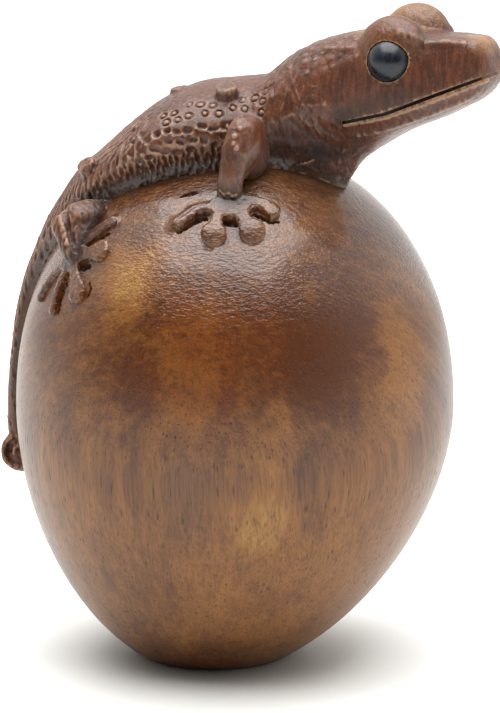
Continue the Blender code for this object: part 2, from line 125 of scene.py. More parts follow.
def ball_skin(rays):
    """The points of the ball's surface that lie in these directions from its middle."""
    rays = np.atleast_2d(rays)
    rays = rays / np.linalg.norm(rays, axis=1, keepdims=True)
    level = np.hypot(rays[:, 0], rays[:, 1])
    depth = np.where(rays[:, 2] >= 0, CROWN_RISE, TAPER_DEPTH)
    power = np.where(rays[:, 2] >= 0, CROWN_POWER, TAPER_POWER)
    reach = ((level / BALL_RADIUS) ** power + (np.abs(rays[:, 2]) / depth) ** power) ** (-1 / power)
    height = WAIST_HEIGHT + rays[:, 2] * reach
    return np.stack([rays[:, 0] * reach + lean_at(height), rays[:, 1] * reach, height], 1)


def over_ball(along, side, height):
    """A point over the ball: degrees down the back, degrees out to the right, millimetres up."""
    back, out = math.radians(along), math.radians(side)
    ray = np.array([-math.sin(back) * math.cos(out), -math.sin(out), math.cos(back) * math.cos(out)])
    return ball_skin(ray)[0] + ray * height * MM


def unit(vector):
    return vector / np.linalg.norm(vector)


def straight_out(along):
    """The direction out of the ball, at this many degrees down the gecko's back."""
    return unit(over_ball(along, 0, 1) - over_ball(along, 0, 0))


print("foot depth", round(TAPER_DEPTH / MM, 2), "mm; top of the ball", over_ball(0, 0, 0).round(4))

# %% [markdown]
# ## Lofts, drawn as a carver's sections
# The body, the limbs and the toes are all skins over sections. A section is a superellipse:
# one power makes it rounder or boxier, and it may differ above and below. Between the sections
# a smooth curve runs through every point in turn, so a few sections give a flowing form. A
# plain loft would leave facets that a varnish highlight shows at once.

# %% Sections and lofts
def superellipse(middle, across, up, half_width, rise, drop, powers, sides):
    """A closed section: half width, height above and depth below its widest line, two powers."""
    turn = np.arange(sides) * math.tau / sides
    c, s = np.cos(turn), np.sin(turn)
    power = np.where(s >= 0, powers[0], powers[1])
    reach = np.where(s >= 0, rise, drop)
    x = np.sign(c) * np.abs(c) ** (2 / power) * half_width * MM
    y = np.sign(s) * np.abs(s) ** (2 / power) * reach * MM
    return np.asarray(middle) + np.outer(x, across) + np.outer(y, up)


def flow(sections, steps):
    """Sections in between, on a smooth curve through each point of the given ones."""
    points = np.array(sections)
    gap = np.linalg.norm(np.diff(points.mean(1), axis=0), axis=1) + 1e-6
    slope = np.diff(points, axis=0) / gap[:, None, None]
    share = (gap[:-1] / (gap[:-1] + gap[1:]))[:, None, None]
    inner = slope[:-1] * (1 - share) + slope[1:] * share
    speed = np.concatenate([slope[:1], inner, slope[-1:]])
    rows = []
    for k in range(len(points) - 1):
        for t in np.arange(steps) / steps:
            a, b = 2 * t ** 3 - 3 * t ** 2 + 1, -2 * t ** 3 + 3 * t ** 2
            c, d = (t ** 3 - 2 * t ** 2 + t) * gap[k], (t ** 3 - t ** 2) * gap[k]
            rows.append(a * points[k] + b * points[k + 1] + c * speed[k] + d * speed[k + 1])
    return rows + [points[-1]]


def loft(sections):
    """A closed skin over sections, as points and faces."""
    rows, sides = len(sections), len(sections[0])
    points = np.concatenate([*sections, [sections[0].mean(0)], [sections[-1].mean(0)]])
    faces = []
    for row in range(rows - 1):
        low, high = row * sides, (row + 1) * sides
        faces += [(low + k, low + (k + 1) % sides, high + (k + 1) % sides, high + k) for k in range(sides)]
    last = (rows - 1) * sides
    for k in range(sides):
        faces.append((rows * sides, (k + 1) % sides, k))
        faces.append((rows * sides + 1, last + k, last + (k + 1) % sides))
    return points, faces


stock = []
print("a loft of 3 sections has", len(loft(flow([np.eye(3), np.eye(3) + 1, np.eye(3) + 2], 4))[0]), "points")

# %% [markdown]
# ## Tail, trunk, neck and head
# The carver left the gecko flat on the ball, its back a low ridge from the rolled tip of the
# tail to the shoulders, then lifted the neck and turned the head to its right. Trunk sections
# stand square to the ball's curve, head sections square to the head's own direction, and one
# flowing skin runs through them all.

# %% The long body
# Degrees down the back, then the half width and the heights of the back and of the widest line
# over the ball, and the depth below that line.
TRUNK = (
    (103.0, 2.1, 4.4, 0.6, 3.0),
    (97.0, 2.3, 4.0, 0.6, 3.0),
    (88.0, 2.8, 3.5, 0.5, 3.0),
    (78.0, 3.4, 3.2, 0.4, 3.0),
    (69.0, 4.1, 3.4, 0.4, 3.0),
    (60.0, 5.0, 3.7, 0.3, 3.5),
    (52.0, 6.4, 4.0, 0.2, 4.0),
    (45.0, 8.8, 4.7, 0.2, 5.0),
    (39.0, 12.0, 5.2, 0.2, 6.0),
    (33.0, 14.8, 6.2, 0.6, 7.0),
    (27.0, 16.6, 6.6, 1.2, 9.0),
    (20.0, 18.0, 8.3, 2.0, 10.5),
    (13.0, 18.6, 10.7, 2.8, 11.5),
    (6.0, 18.0, 12.6, 3.2, 12.0),
    (0.0, 16.8, 13.2, 3.4, 12.0),
    (-4.5, 15.2, 14.0, 4.0, 12.0),
)
# Millimetres forward, then the half width, the heights of the top, the underside and the widest
# line, and the section's powers above and below that line.
HEAD = (
    (0.5, 13.4, 13.2, -12.0, 4.0, 2.0, 1.25),
    (4.0, 12.4, 14.2, -13.5, 4.0, 2.1, 1.15),
    (8.0, 11.6, 15.2, -10.6, 4.0, 2.2, 1.3),
    (12.0, 11.1, 15.4, -8.2, 3.5, 2.3, 1.6),
    (16.5, 10.8, 15.0, -7.0, 2.5, 2.4, 2.0),
    (21.0, 10.7, 14.2, -6.2, 1.5, 2.6, 2.6),
    (26.0, 10.4, 13.0, -6.0, 1.0, 2.9, 2.9),
    (30.5, 9.6, 11.0, -6.0, 0.6, 3.3, 3.0),
    (34.5, 8.2, 8.8, -5.7, 0.4, 3.8, 3.0),
    (38.5, 6.8, 7.0, -5.2, 0.3, 4.2, 2.9),
    (41.2, 5.7, 5.5, -4.0, 0.2, 4.0, 2.8),
    (42.6, 4.7, 4.5, -2.9, 0.2, 3.6, 2.6),
    (43.3, 3.2, 3.4, -1.6, 0.2, 3.0, 2.4),
)
BACK_POWER, FLANK_POWER = 1.95, 2.1
HEAD_TURN, HEAD_LIFT = math.radians(13.0), math.radians(22.5)
SKULL = (-13.0, 0.9, 3.6)
BODY_SIDES, BODY_STEPS = 88, 10

ahead = np.array([math.cos(HEAD_TURN) * math.cos(HEAD_LIFT), -math.sin(HEAD_TURN) * math.cos(HEAD_LIFT),
                  math.sin(HEAD_LIFT)])
aside = np.array([math.sin(HEAD_TURN), math.cos(HEAD_TURN), 0.0])
above = np.cross(ahead, aside)
head_axes = np.array([ahead, aside, above])
skull = over_ball(*SKULL)


def on_head(forward, left, up):
    """A point of the head, in millimetres along its own directions."""
    return skull + (ahead * forward + aside * left + above * up) * MM


def trunk_section(along, half_width, back, widest, drop):
    """A section of the tail or trunk, square to the ball's curve."""
    return superellipse(over_ball(along, 0, widest), (0, 1, 0), straight_out(along), half_width,
                        back - widest, drop, (BACK_POWER, FLANK_POWER), BODY_SIDES)


def head_section(forward, half_width, top, under, widest, above_power, below_power):
    """A section of the neck or head, square to the head's own direction."""
    return superellipse(on_head(forward, 0, widest), aside, above, half_width, top - widest,
                        widest - under, (above_power, below_power), BODY_SIDES)


body_rows = flow([trunk_section(*row) for row in TRUNK] + [head_section(*row) for row in HEAD], BODY_STEPS)
stock.append(loft(body_rows))
print("body:", len(stock[-1][0]), "points")

# %% [markdown]
# ## Brows, arms and legs
# Two domes stand over the eyes. The arms come out of the shoulders as thick stumps, and a
# slimmer forearm drops from each to the foot; the hind legs fold flat beside the root of the
# tail. Each limb is a loft again, its sections square to its own run. One power for each limb
# sets its section: the arms are a little boxy, and the hind legs are nearly diamonds, because
# the knife left an edge down their length. The left side, which the photograph doesn't show,
# mirrors the right one, as a carver would cut it.

# %% Brows and limbs
BROW_RADII = (6.9, 4.7, 6.3)
BROW_PLACE = (27.6, 5.5, 9.0)
BROW_LIFT = {-1: -0.5, 1: 0.7}
# Each station is a place over the ball, with the half width and the half depth there.
LIMBS = {
    "upper arm": (((-6.6, 11.0, 3.5), 3.8, 5.5), ((-6.8, 16.5, 5.0), 3.5, 5.8),
                  ((-6.7, 20.0, 5.8), 3.1, 5.6), ((-6.0, 23.4, 5.0), 2.5, 4.8)),
    "forearm": (((-7.2, 17.4, 10.6), 1.6, 1.3), ((-6.8, 19.4, 11.0), 2.5, 2.0),
                ((-6.4, 21.6, 9.4), 2.65, 2.4), ((-6.1, 24.2, 6.3), 2.5, 2.1),
                ((-5.9, 26.0, 3.6), 2.35, 1.8), ((-5.9, 26.7, 1.8), 2.4, 1.6),
                ((-5.9, 27.1, -1.0), 2.5, 1.6)),
    "thigh": (((26.6, 19.4, -1.6), 1.6, 1.6), ((28.6, 20.4, -0.4), 2.5, 2.4), ((31.5, 22.0, 1.2), 3.3, 3.3),
              ((34.8, 23.4, 2.7), 3.2, 3.2), ((36.8, 23.6, 3.3), 2.2, 2.4)),
    "calf": (((32.6, 23.0, 1.8), 3.2, 2.8), ((34.8, 26.4, 1.4), 2.9, 2.4),
             ((37.2, 30.0, 0.4), 1.9, 1.8)),
    "shin": (((36.4, 21.8, 4.4), 1.3, 1.2), ((36.9, 23.2, 4.2), 2.0, 1.9),
             ((37.4, 27.0, 2.8), 1.9, 1.8), ((38.0, 30.6, 1.3), 1.6, 1.6),
             ((38.2, 32.0, -0.6), 1.9, 1.6)),
}
LIMB_POWER = {"upper arm": 2.4, "forearm": 2.4, "thigh": 1.7, "calf": 1.8, "shin": 1.9}
MIRROR = np.array([1.0, -1.0, 1.0])


def mirrored(points, faces):
    """The same skin on the gecko's left, its faces turned round to keep pointing out."""
    return points * MIRROR, [face[::-1] for face in faces]


def ball_at(centre, radii, turn, rings=24, sides=36):
    """An ellipsoid whose own axes are the rows of turn."""
    sections = []
    for angle in np.linspace(-math.pi / 2 + 0.05, math.pi / 2 - 0.05, rings):
        middle = centre + turn[2] * math.sin(angle) * radii[2] * MM
        wide, deep = radii[0] * math.cos(angle), radii[1] * math.cos(angle)
        sections.append(superellipse(middle, turn[0], turn[1], wide, deep, deep, (2, 2), sides))
    return loft(sections)


def limb(stations, power, sides=28):
    """A limb's skin over its stations, each section square to the limb's run."""
    points = [over_ball(*place) for place, _, _ in stations]
    sections = []
    for k, (_, wide, deep) in enumerate(stations):
        run = unit(points[min(k + 1, len(points) - 1)] - points[max(k - 1, 0)])
        across = np.cross(run, (0, 1, 0))
        if np.linalg.norm(across) < 0.3:
            across = np.array([1.0, 0, 0]) - run * run[0]
        across = unit(across)
        up = unit(np.cross(run, across))
        sections.append(superellipse(points[k], across, up, wide, deep, deep, (power, power), sides))
    return loft(flow(sections, 6))


for hand in (-1, 1):
    forward, left, up = BROW_PLACE
    stock.append(ball_at(on_head(forward, hand * left, up + BROW_LIFT[hand]), BROW_RADII, head_axes))
for name, stations in LIMBS.items():
    right = limb(stations, LIMB_POWER[name])
    stock += [right, mirrored(*right)]
print("pieces so far:", len(stock))

# %% [markdown]
# ## Feet
# The feet are cut out of the ball's own skin: slim toes spread from a palm and end in round
# pads. Their tops are about flush and keep the ball's colour, and only the walls and the short
# pits chiselled between them are dark. A foot is therefore a small field of heights over the
# ball, like the relief of a coin: inside the outline of the toes the skin stands up, with a
# narrow rounded edge, and the two large front pads roll off like fingertips. Beside the outer
# toe a low shoulder of wood swells out of the ball. The pits are cut afterwards with a field of
# depths that ends in a ragged edge.

# %% A patch of the ball under one foot
TOE_HEIGHT, ROOT_DEPTH, TOE_EDGE, FOOT_GRID = 1.4, 2.0, 0.5, 0.15
# Toes are rows of discs, each forward, outward and radius, and a pit is its depth and then such
# discs. A tip rolls off from a place, in a direction, over a reach.
FRONT = {
    "place": (-5.7, 28.2),
    "height": TOE_HEIGHT,
    "grid": ((-11.5, 11.5), (-4.5, 11.5)),
    "toes": (((-1.2, 1.6, 2.0), (0.8, 1.4, 2.3), (2.8, 0.4, 2.0)),
             ((-1.6, 1.6, 1.1), (-3.4, 2.3, 0.85), (-5.0, 3.3, 0.75), (-6.3, 4.9, 0.7), (-7.5, 6.3, 0.8)),
             ((-0.7, 2.0, 1.5), (-0.7, 4.2, 1.15), (-0.6, 6.0, 1.25), (-0.5, 7.6, 2.35)),
             ((2.4, 1.6, 1.6), (4.0, 3.2, 1.35), (5.0, 4.2, 1.5), (6.1, 5.2, 2.45)),
             ((3.0, -0.6, 1.4), (5.0, -1.3, 1.3), (6.8, -1.2, 1.35), (8.3, -0.5, 1.6))),
    "tips": (((-0.5, 6.7), (0.05, 1.0), 3.1), ((5.6, 4.6), (0.55, 0.83), 3.0)),
    "shoulders": (((-3.6, 1.4), (-5.6, 2.4), (-7.2, 4.2), (-8.6, 5.9)),),
    "pits": ((1.0, (-2.9, 4.0, 0.55), (-4.1, 4.5, 0.65), (-5.3, 5.6, 0.5), (-6.5, 7.0, 0.35),
              (-7.6, 7.7, 0.3)),
             (1.1, (0.9, 4.4, 0.7), (1.7, 4.2, 0.8), (2.6, 4.3, 0.7)),
             (0.9, (5.5, 1.1, 0.5), (6.4, 1.2, 0.55), (7.6, 1.5, 0.45), (9.0, 1.6, 0.4), (10.1, 0.7, 0.3)),
             (1.0, (-9.4, -1.3, 0.3), (-8.3, -1.7, 0.6), (-7.2, -2.1, 0.65), (-6.5, -2.4, 0.4))),
}
HIND = {
    "place": (37.4, 30.4),
    "height": TOE_HEIGHT * 0.68,
    "grid": ((-14.0, 11.5), (-4.5, 11.5)),
    "toes": (((-2.2, -0.6, 2.0), (-0.8, 0.2, 2.1), (0.8, 0.4, 1.9)),
             ((1.6, -1.0, 1.0), (3.6, -1.1, 0.9), (5.7, -1.4, 0.8), (7.8, -1.4, 0.75), (9.8, -1.0, 0.6)),
             ((0.8, 0.8, 1.4), (2.4, 1.7, 1.15), (3.4, 2.3, 1.3), (5.3, 3.5, 2.15)),
             ((-1.0, 1.2, 1.4), (-1.4, 3.6, 1.15), (-1.7, 5.6, 1.35), (-2.2, 7.8, 2.1)),
             ((-2.6, 0.4, 1.0), (-4.6, 1.5, 0.85), (-6.8, 3.0, 0.85), (-9.2, 5.4, 0.95)),
             ((-3.2, -1.3, 1.0), (-6.2, -2.2, 0.85), (-9.4, -2.4, 0.8), (-12.2, -2.0, 0.8))),
    "tips": (),
    "shoulders": (((3.4, -2.0), (6.0, -2.4), (9.6, -2.0)),),
    "pits": ((1.1, (4.2, 0.5, 0.5), (6.0, 0.4, 0.6), (7.9, 0.5, 0.4)),
             (1.3, (0.4, 3.1, 0.7), (1.1, 3.8, 0.95), (1.9, 4.6, 0.6)),
             (0.6, (0.9, 7.9, 0.3), (0.8, 9.2, 0.4), (-0.3, 10.2, 0.3)),
             (1.0, (-4.2, 3.3, 0.5), (-5.6, 4.1, 0.7), (-7.0, 5.2, 0.6), (-8.4, 6.9, 0.35)),
             (1.0, (-6.6, -0.6, 0.4), (-7.6, -0.5, 0.6), (-9.0, -0.7, 0.4)),
             (0.5, (9.0, -2.9, 0.25), (10.4, -2.7, 0.3))),
}
draw = np.random.default_rng(29)


class Foot:
    """A patch of the ball under one foot: places on it are millimetres forward and outward."""

    def __init__(self, along, side):
        self.palm = over_ball(along, side, 0)
        self.forward = unit(over_ball(along - 0.5, side, 0) - self.palm)
        outward = over_ball(along, side + 0.5, 0) - self.palm
        self.outward = unit(outward - self.forward * outward.dot(self.forward))

    def place(self, forward, outward, height):
        flat = self.palm + (forward[:, None] * self.forward + outward[:, None] * self.outward) * MM
        rays = flat - np.array([BALL_LEAN, 0, WAIST_HEIGHT])
        return ball_skin(rays) + rays / np.linalg.norm(rays, axis=1)[:, None] * height[:, None] * MM


def ripple(u, v, size):
    """Soft random waves of about this size, from -1 to 1."""
    total = np.zeros(np.shape(u))
    for _ in range(8):
        turn, phase, reach = draw.uniform(0, math.tau), draw.uniform(0, math.tau), draw.uniform(0.6, 1.5)
        total += np.cos((u * math.cos(turn) + v * math.sin(turn)) * math.tau / size * reach + phase)
    return total / 4


def strip_gap(u, v, line):
    """Millimetres outside a row of discs that are joined into a strip, negative inside it."""
    line = np.array(line, float)
    steps = np.linspace(0, len(line) - 1, 12 * len(line))
    spots = [np.interp(steps, np.arange(len(line)), line[:, k]) for k in range(3)]
    return np.min([np.hypot(u - a, v - b) - r for a, b, r in zip(*spots)], axis=0)


def soft_least(first, second, width=0.5):
    """The lesser of two fields, their crease filled as a small fillet."""
    blend = np.clip(0.5 + (second - first) / width / 2, 0, 1)
    return second + (first - second) * blend - width * blend * (1 - blend)


def plate(foot, grid, gap, low, high):
    """The solid between two fields of heights, where the gap is negative, its rim on the outline."""
    u, v = grid
    slope_u, slope_v = np.gradient(gap, FOOT_GRID)
    steep = slope_u ** 2 + slope_v ** 2 + 1e-6
    on_rim = np.abs(gap) < FOOT_GRID
    u = u - np.where(on_rim, gap * slope_u / steep, 0)
    v = v - np.where(on_rim, gap * slope_v / steep, 0)
    inside = gap < FOOT_GRID * 0.5
    cells = inside[:-1, :-1] & inside[1:, :-1] & inside[:-1, 1:] & inside[1:, 1:]
    for _ in range(4):
        one = cells[:-1, :-1] & cells[1:, 1:] & ~cells[1:, :-1] & ~cells[:-1, 1:]
        other = cells[1:, :-1] & cells[:-1, 1:] & ~cells[:-1, :-1] & ~cells[1:, 1:]
        cells[1:, :-1] |= one
        cells[:-1, :-1] |= other
    number = np.full(u.shape, -1)
    used = np.zeros(u.shape, bool)
    for i, j in ((0, 0), (1, 0), (0, 1), (1, 1)):
        used[i:u.shape[0] - 1 + i, j:u.shape[1] - 1 + j] |= cells
    number[used] = np.arange(used.sum())
    count = used.sum()
    points = [foot.place(u[used], v[used], np.broadcast_to(level, u.shape)[used]) for level in (low, high)]
    faces = []
    filled = np.pad(cells, 1)
    for i, j in np.argwhere(cells):
        a, b, c, d = number[i, j], number[i + 1, j], number[i + 1, j + 1], number[i, j + 1]
        faces += [(a, b, c, d), (d + count, c + count, b + count, a + count)]
        around = (((i, j + 1), a, d), ((i + 2, j + 1), c, b), ((i + 1, j), b, a), ((i + 1, j + 2), d, c))
        faces += [(p, q, q + count, p + count) for beside, p, q in around if not filled[beside]]
    return np.concatenate(points), faces


# %% The toes, and the pits between them
TOE_RIM, TIP_DROP, TIP_POWER, TIP_NEAR = 0.62, 1.15, 1.7, 3.4
SHOULDER_WIDTH, SHOULDER_REACH, PIT_EDGE = 1.25, 2.4, 0.3


def toes_and_pits(layout):
    """One foot: the solid of its toes, and the cutters of its pits."""
    foot = Foot(*layout["place"])
    (f_low, f_high), (o_low, o_high) = layout["grid"]
    u, v = np.meshgrid(np.arange(f_low, f_high, FOOT_GRID), np.arange(o_low, o_high, FOOT_GRID),
                       indexing='ij')
    gap = strip_gap(u, v, layout["toes"][0])
    for line in layout["toes"][1:]:
        gap = soft_least(gap, strip_gap(u, v, line))
    gap += 0.07 * ripple(u, v, 1.3)
    height = layout["height"] * (TOE_RIM + (1 - TOE_RIM) * np.sqrt(np.clip(-gap / TOE_EDGE, 0, 1)))
    height += 0.5 * np.clip((1.6 - v) / 3, 0, 1) * np.exp(-((u - 0.5) / 2.5) ** 2) + 0.05 * ripple(u, v, 1.8)
    for (a, b), heading, reach in layout["tips"]:
        past = (u - a) * heading[0] + (v - b) * heading[1]
        near = np.hypot(u - a - heading[0], v - b - heading[1]) < TIP_NEAR
        height -= TIP_DROP * near * np.clip(past / reach, 0, 1) ** TIP_POWER
    pieces = [plate(foot, (u, v), gap, -ROOT_DEPTH, height)]
    for line in layout["shoulders"]:
        slope = strip_gap(u, v, [(*spot, 0.0) for spot in line])
        swell = (TOE_HEIGHT - 0.25) * np.exp(-(slope / SHOULDER_WIDTH) ** 2) - 0.15
        pieces.append(plate(foot, (u, v), slope - SHOULDER_REACH, -ROOT_DEPTH, swell))
    cutters = []
    for depth, *line in layout["pits"]:
        gap = strip_gap(u, v, line) + 0.14 * ripple(u, v, 0.9)
        floor = -depth * np.clip(-gap / PIT_EDGE, 0.15, 1) ** 0.7 + 0.06 * ripple(u, v, 0.8)
        cutters.append(plate(foot, (u, v), gap, floor, TOE_HEIGHT + 1.2))
    return pieces, cutters


toes, pits = [], []
for layout in (FRONT, HIND):
    pieces, cutters = toes_and_pits(layout)
    toes += pieces + [mirrored(*piece) for piece in pieces]
    pits += cutters + [mirrored(*piece) for piece in cutters]
print(len(toes), "fields of toes and", len(pits), "pits")

# %% [markdown]
# ## Warts and the rolled tail
# The photograph shows four round knobs on the back, two of them hardly raised, and three more
# stand on the far side in keeping. The tail ends in a small flat scroll that stands on the
# ball: a band wound one turn and a bit, over a thin floor that fills its middle.

# %% Warts and scroll
# Degrees down the back, share of the half width to the left, radius and height.
WARTS = (
    (9.6, -0.12, 1.8, 0.7),
    (-1.0, -0.62, 2.1, 2.1),
    (28.0, -0.80, 2.0, 1.7),
    (15.5, -0.70, 1.5, 0.4),
    (4.0, 0.78, 2.0, 1.3),
    (19.0, 0.78, 2.0, 1.3),
    (33.0, 0.66, 1.7, 1.1),
)
WART_ROOT = 1.2
SCROLL_ALONG, SCROLL_LIFT, SCROLL_RADIUS = 105.6, 2.1, 4.6
SCROLL_BAND, SCROLL_HALF_WIDTH = 0.75, 2.3
SCROLL_TURNS, SCROLL_SHRINK, SCROLL_START = 1.3, 0.72, math.radians(200)
SCROLL_FLOOR = SCROLL_RADIUS * 0.8


def trunk_at(along):
    """The trunk's measures at an angle down the back, read between its sections."""
    rows = np.array(TRUNK)[::-1]
    return [np.interp(along, rows[:, 0], rows[:, column]) for column in range(1, 5)]


def on_back(along, share):
    """A point of the trunk's skin, its share of the half width to the left, and its outward axis."""
    half_width, back, widest, _ = trunk_at(along)
    rise = (back - widest) * (1 - abs(share) ** BACK_POWER) ** (1 / BACK_POWER)
    slope = (back - widest) / half_width * abs(share) ** (BACK_POWER - 1)
    slope *= (1 - abs(share) ** BACK_POWER) ** (1 / BACK_POWER - 1)
    point = over_ball(along, 0, widest + rise) + np.array([0, share * half_width * MM, 0])
    return point, unit(straight_out(along) + np.array([0, math.copysign(slope, share), 0]))


def disc(middle, across, up, radius, sides):
    """A round section."""
    return superellipse(middle, across, up, radius, radius, radius, (2, 2), sides)


def knob(along, share, radius, height):
    """A short round knob with a softened rim, standing on the back."""
    point, axis = on_back(along, share)
    side = unit(np.cross(axis, (1, 0, 0)))
    other = np.cross(axis, side)
    profile = ((-WART_ROOT, 1.05), (0, 1.0), (height - 0.35, 0.97), (height - 0.1, 0.88), (height, 0.7))
    return loft([disc(point + axis * rise * MM, other, side, radius * wide, 28) for rise, wide in profile])


for wart in WARTS:
    stock.append(knob(*wart))

out = straight_out(SCROLL_ALONG)
across = np.array([0.0, 1.0, 0.0])
down = np.cross(across, out)
down = down if down[2] < 0 else -down
scroll_middle = over_ball(SCROLL_ALONG, 0, SCROLL_LIFT)
band = []
for share in np.linspace(0, 1, 72):
    turn = SCROLL_START - math.tau * SCROLL_TURNS * share
    thick, wide = SCROLL_BAND * (1 - 0.35 * share), SCROLL_HALF_WIDTH * (1 - 0.2 * share)
    ray = out * math.sin(turn) + down * math.cos(turn)
    radius = (SCROLL_RADIUS - SCROLL_BAND) * (1 - SCROLL_SHRINK * share)
    band.append(superellipse(scroll_middle + ray * radius * MM, across, ray, wide, thick, thick, (3, 3), 16))
stock.append(loft(band))
stock.append(loft([disc(scroll_middle + across * offset * SCROLL_HALF_WIDTH * MM, out, down, SCROLL_FLOOR, 40)
                   for offset in (-0.55, 0.55)]))
print("pieces in all:", len(stock))

# %% [markdown]
# ## One skin over all the pieces
# The pieces overlap, as lumps of clay would. A voxel remesh turns them into one skin of even
# little squares, and a few rounds of smoothing take off the last steps. Boolean unions would
# keep every hard seam between the pieces, where the real knife left soft ones.

# %% Join and remesh the gecko
GRAIN, SMOOTHING_ROUNDS = 0.27, 3


def show(name, shape, mesh=None):
    """Puts a worked shape in the scene as an object, on a new mesh or on its own."""
    mesh = mesh or bpy.data.meshes.new(name)
    shape.to_mesh(mesh)
    shape.free()
    thing = bpy.data.objects.new(name, mesh)
    bpy.context.scene.collection.objects.link(thing)
    return thing


def solid(name, points, faces):
    """An object of closed skins, their faces turned outward."""
    mesh = bpy.data.meshes.new(name)
    mesh.from_pydata([tuple(p) for p in points], [], faces)
    shape = bmesh.new()
    shape.from_mesh(mesh)
    bmesh.ops.recalc_face_normals(shape, faces=shape.faces)
    return show(name, shape, mesh)


def bake(thing):
    """Applies the object's modifiers to its mesh."""
    mesh = bpy.data.meshes.new_from_object(thing.evaluated_get(bpy.context.evaluated_depsgraph_get()))
    thing.modifiers.clear()
    thing.data = mesh


def read(mesh, field):
    """The places ("co") or the outward directions ("normal") of a mesh's points."""
    flat = np.empty(len(mesh.vertices) * 3, np.float32)
    mesh.vertices.foreach_get(field, flat)
    return flat.reshape(-1, 3).astype(float)


def read_edges(mesh):
    flat = np.empty(len(mesh.edges) * 2, np.int32)
    mesh.edges.foreach_get("vertices", flat)
    return flat.reshape(-1, 2)


def write_points(mesh, points):
    mesh.vertices.foreach_set("co", points.astype(np.float32).ravel())
    mesh.update()


def neighbour_mean(values, edges):
    """The mean of each point's neighbours."""
    count = np.bincount(edges.ravel(), minlength=len(values))[:, None]
    total = np.zeros_like(values)
    for column in range(values.shape[1]):
        total[:, column] = np.bincount(edges[:, 0], values[edges[:, 1], column], len(values))
        total[:, column] += np.bincount(edges[:, 1], values[edges[:, 0], column], len(values))
    return total / np.maximum(count, 1)


def relax(points, edges, rounds, amount=0.5):
    """Moves each point part of the way to the mean of its neighbours, a few times over."""
    for _ in range(rounds):
        points = points + amount * (neighbour_mean(points, edges) - points)
    return points


faces, start = [], 0
for points, piece_faces in stock:
    faces += [tuple(start + k for k in face) for face in piece_faces]
    start += len(points)
gecko = solid("gecko_skin", np.concatenate([points for points, _ in stock]), faces)
remesh = gecko.modifiers.new("one skin", 'REMESH')
remesh.mode = 'VOXEL'
remesh.voxel_size = GRAIN * MM
bake(gecko)
write_points(gecko.data, relax(read(gecko.data, "co"), read_edges(gecko.data), SMOOTHING_ROUNDS))
print("gecko skin:", len(gecko.data.polygons), "squares")

# %% [markdown]
# ## Where each point lies on the animal
# The tool marks differ from place to place: punched rings on the flank, gouge cuts on the
# rump, long chisel strokes on the nape, an almost smooth face. So each point of the skin first
# gets its place in the animal's own terms: degrees down the back, height over the ball, its
# share of the trunk's half width, and its place in the head's directions. Points on the limbs
# are told from the body by their distance to the body's own loft.

# %% Places on the skin
BURIED_BY, BODY_MARGIN = 0.6, 0.95
BALL_MIDDLE = np.array([BALL_LEAN, 0, WAIST_HEIGHT])


def height_over_ball(points):
    """Millimetres over the ball's skin, negative inside it."""
    rays = points - BALL_MIDDLE
    return (np.linalg.norm(rays, axis=1) - np.linalg.norm(ball_skin(rays) - BALL_MIDDLE, axis=1)) / MM


class Places:
    """The places of some points in the gecko's own terms."""

    def __init__(self, points):
        rays = points - BALL_MIDDLE
        self.along = np.degrees(np.arctan2(-rays[:, 0], rays[:, 2]))
        rows = np.array(TRUNK)[::-1]
        self.share = rays[:, 1] / MM / np.interp(self.along, rows[:, 0], rows[:, 1])
        self.height = height_over_ball(points)
        self.forward, self.left, self.up = ((points - skull) @ head_axes.T / MM).T


def tree_of(points, numbers):
    """A search tree of points, each known by its number."""
    tree = KDTree(len(numbers))
    for point, number in zip(points, numbers):
        tree.insert(point, int(number))
    tree.balance()
    return tree


def nearest_gap(points, targets):
    """Millimetres from each point to the nearest of the targets."""
    tree = tree_of(targets, range(len(targets)))
    return np.array([tree.find(point)[2] for point in points]) / MM


skin, normals = read(gecko.data, "co"), read(gecko.data, "normal")
shown = height_over_ball(skin) > -BURIED_BY
places = Places(skin)
on_body = np.zeros(len(skin), bool)
on_body[shown] = nearest_gap(skin[shown], np.concatenate(body_rows)) < BODY_MARGIN
print(shown.sum(), "points show,", on_body.sum(), "of them on the body")

# %% [markdown]
# ## Stamps
# Every tool leaves its own print: a hollow punch leaves a ring, a gouge leaves a scoop with a
# raised lip, a chisel leaves a long nick, and a bead of wood left standing makes a pearl. A
# stamp pushes nearby points in or out along the surface, by a formula of their place in the
# stamp. Scattering them evenly with a seeded draw gives the hand-made rhythm of the real one.
# Where the knife alone shaped the wood, it left shallow hollows that meet in soft crests: the
# size of a smooth noise, folded at zero, has that form.

# %% Stamp tools
push = np.zeros(len(skin))
skin_tree = tree_of(skin[shown], np.flatnonzero(shown))


def scatter(mask, spacing):
    """Evenly spread points of the skin inside a mask, at least this many millimetres apart."""
    kept, taken = [], {}
    cell = spacing * MM
    for k in draw.permutation(np.flatnonzero(mask & shown)):
        spot = skin[k]
        box = tuple(np.floor(spot / cell).astype(int))
        close = (taken.get((box[0] + i, box[1] + j, box[2] + m), ())
                 for i in (-1, 0, 1) for j in (-1, 0, 1) for m in (-1, 0, 1))
        if all(np.linalg.norm(spot - skin[other]) >= cell for group in close for other in group):
            taken.setdefault(box, []).append(k)
            kept.append(k)
    return kept


def print_of(k, heading, reach):
    """Points near point k, with their places along and across the heading in millimetres."""
    index = np.array([found for _, found, _ in skin_tree.find_range(skin[k], reach * MM)])
    normal = normals[k]
    along = heading - normal * heading.dot(normal)
    along = unit(along) if np.linalg.norm(along) > 0.05 else unit(np.cross(normal, (0.3, 1, 0.1)))
    away_from = (skin[index] - skin[k]) / MM
    facing = normals[index] @ normal > 0.2
    return index[facing], away_from[facing] @ along, away_from[facing] @ np.cross(normal, along)


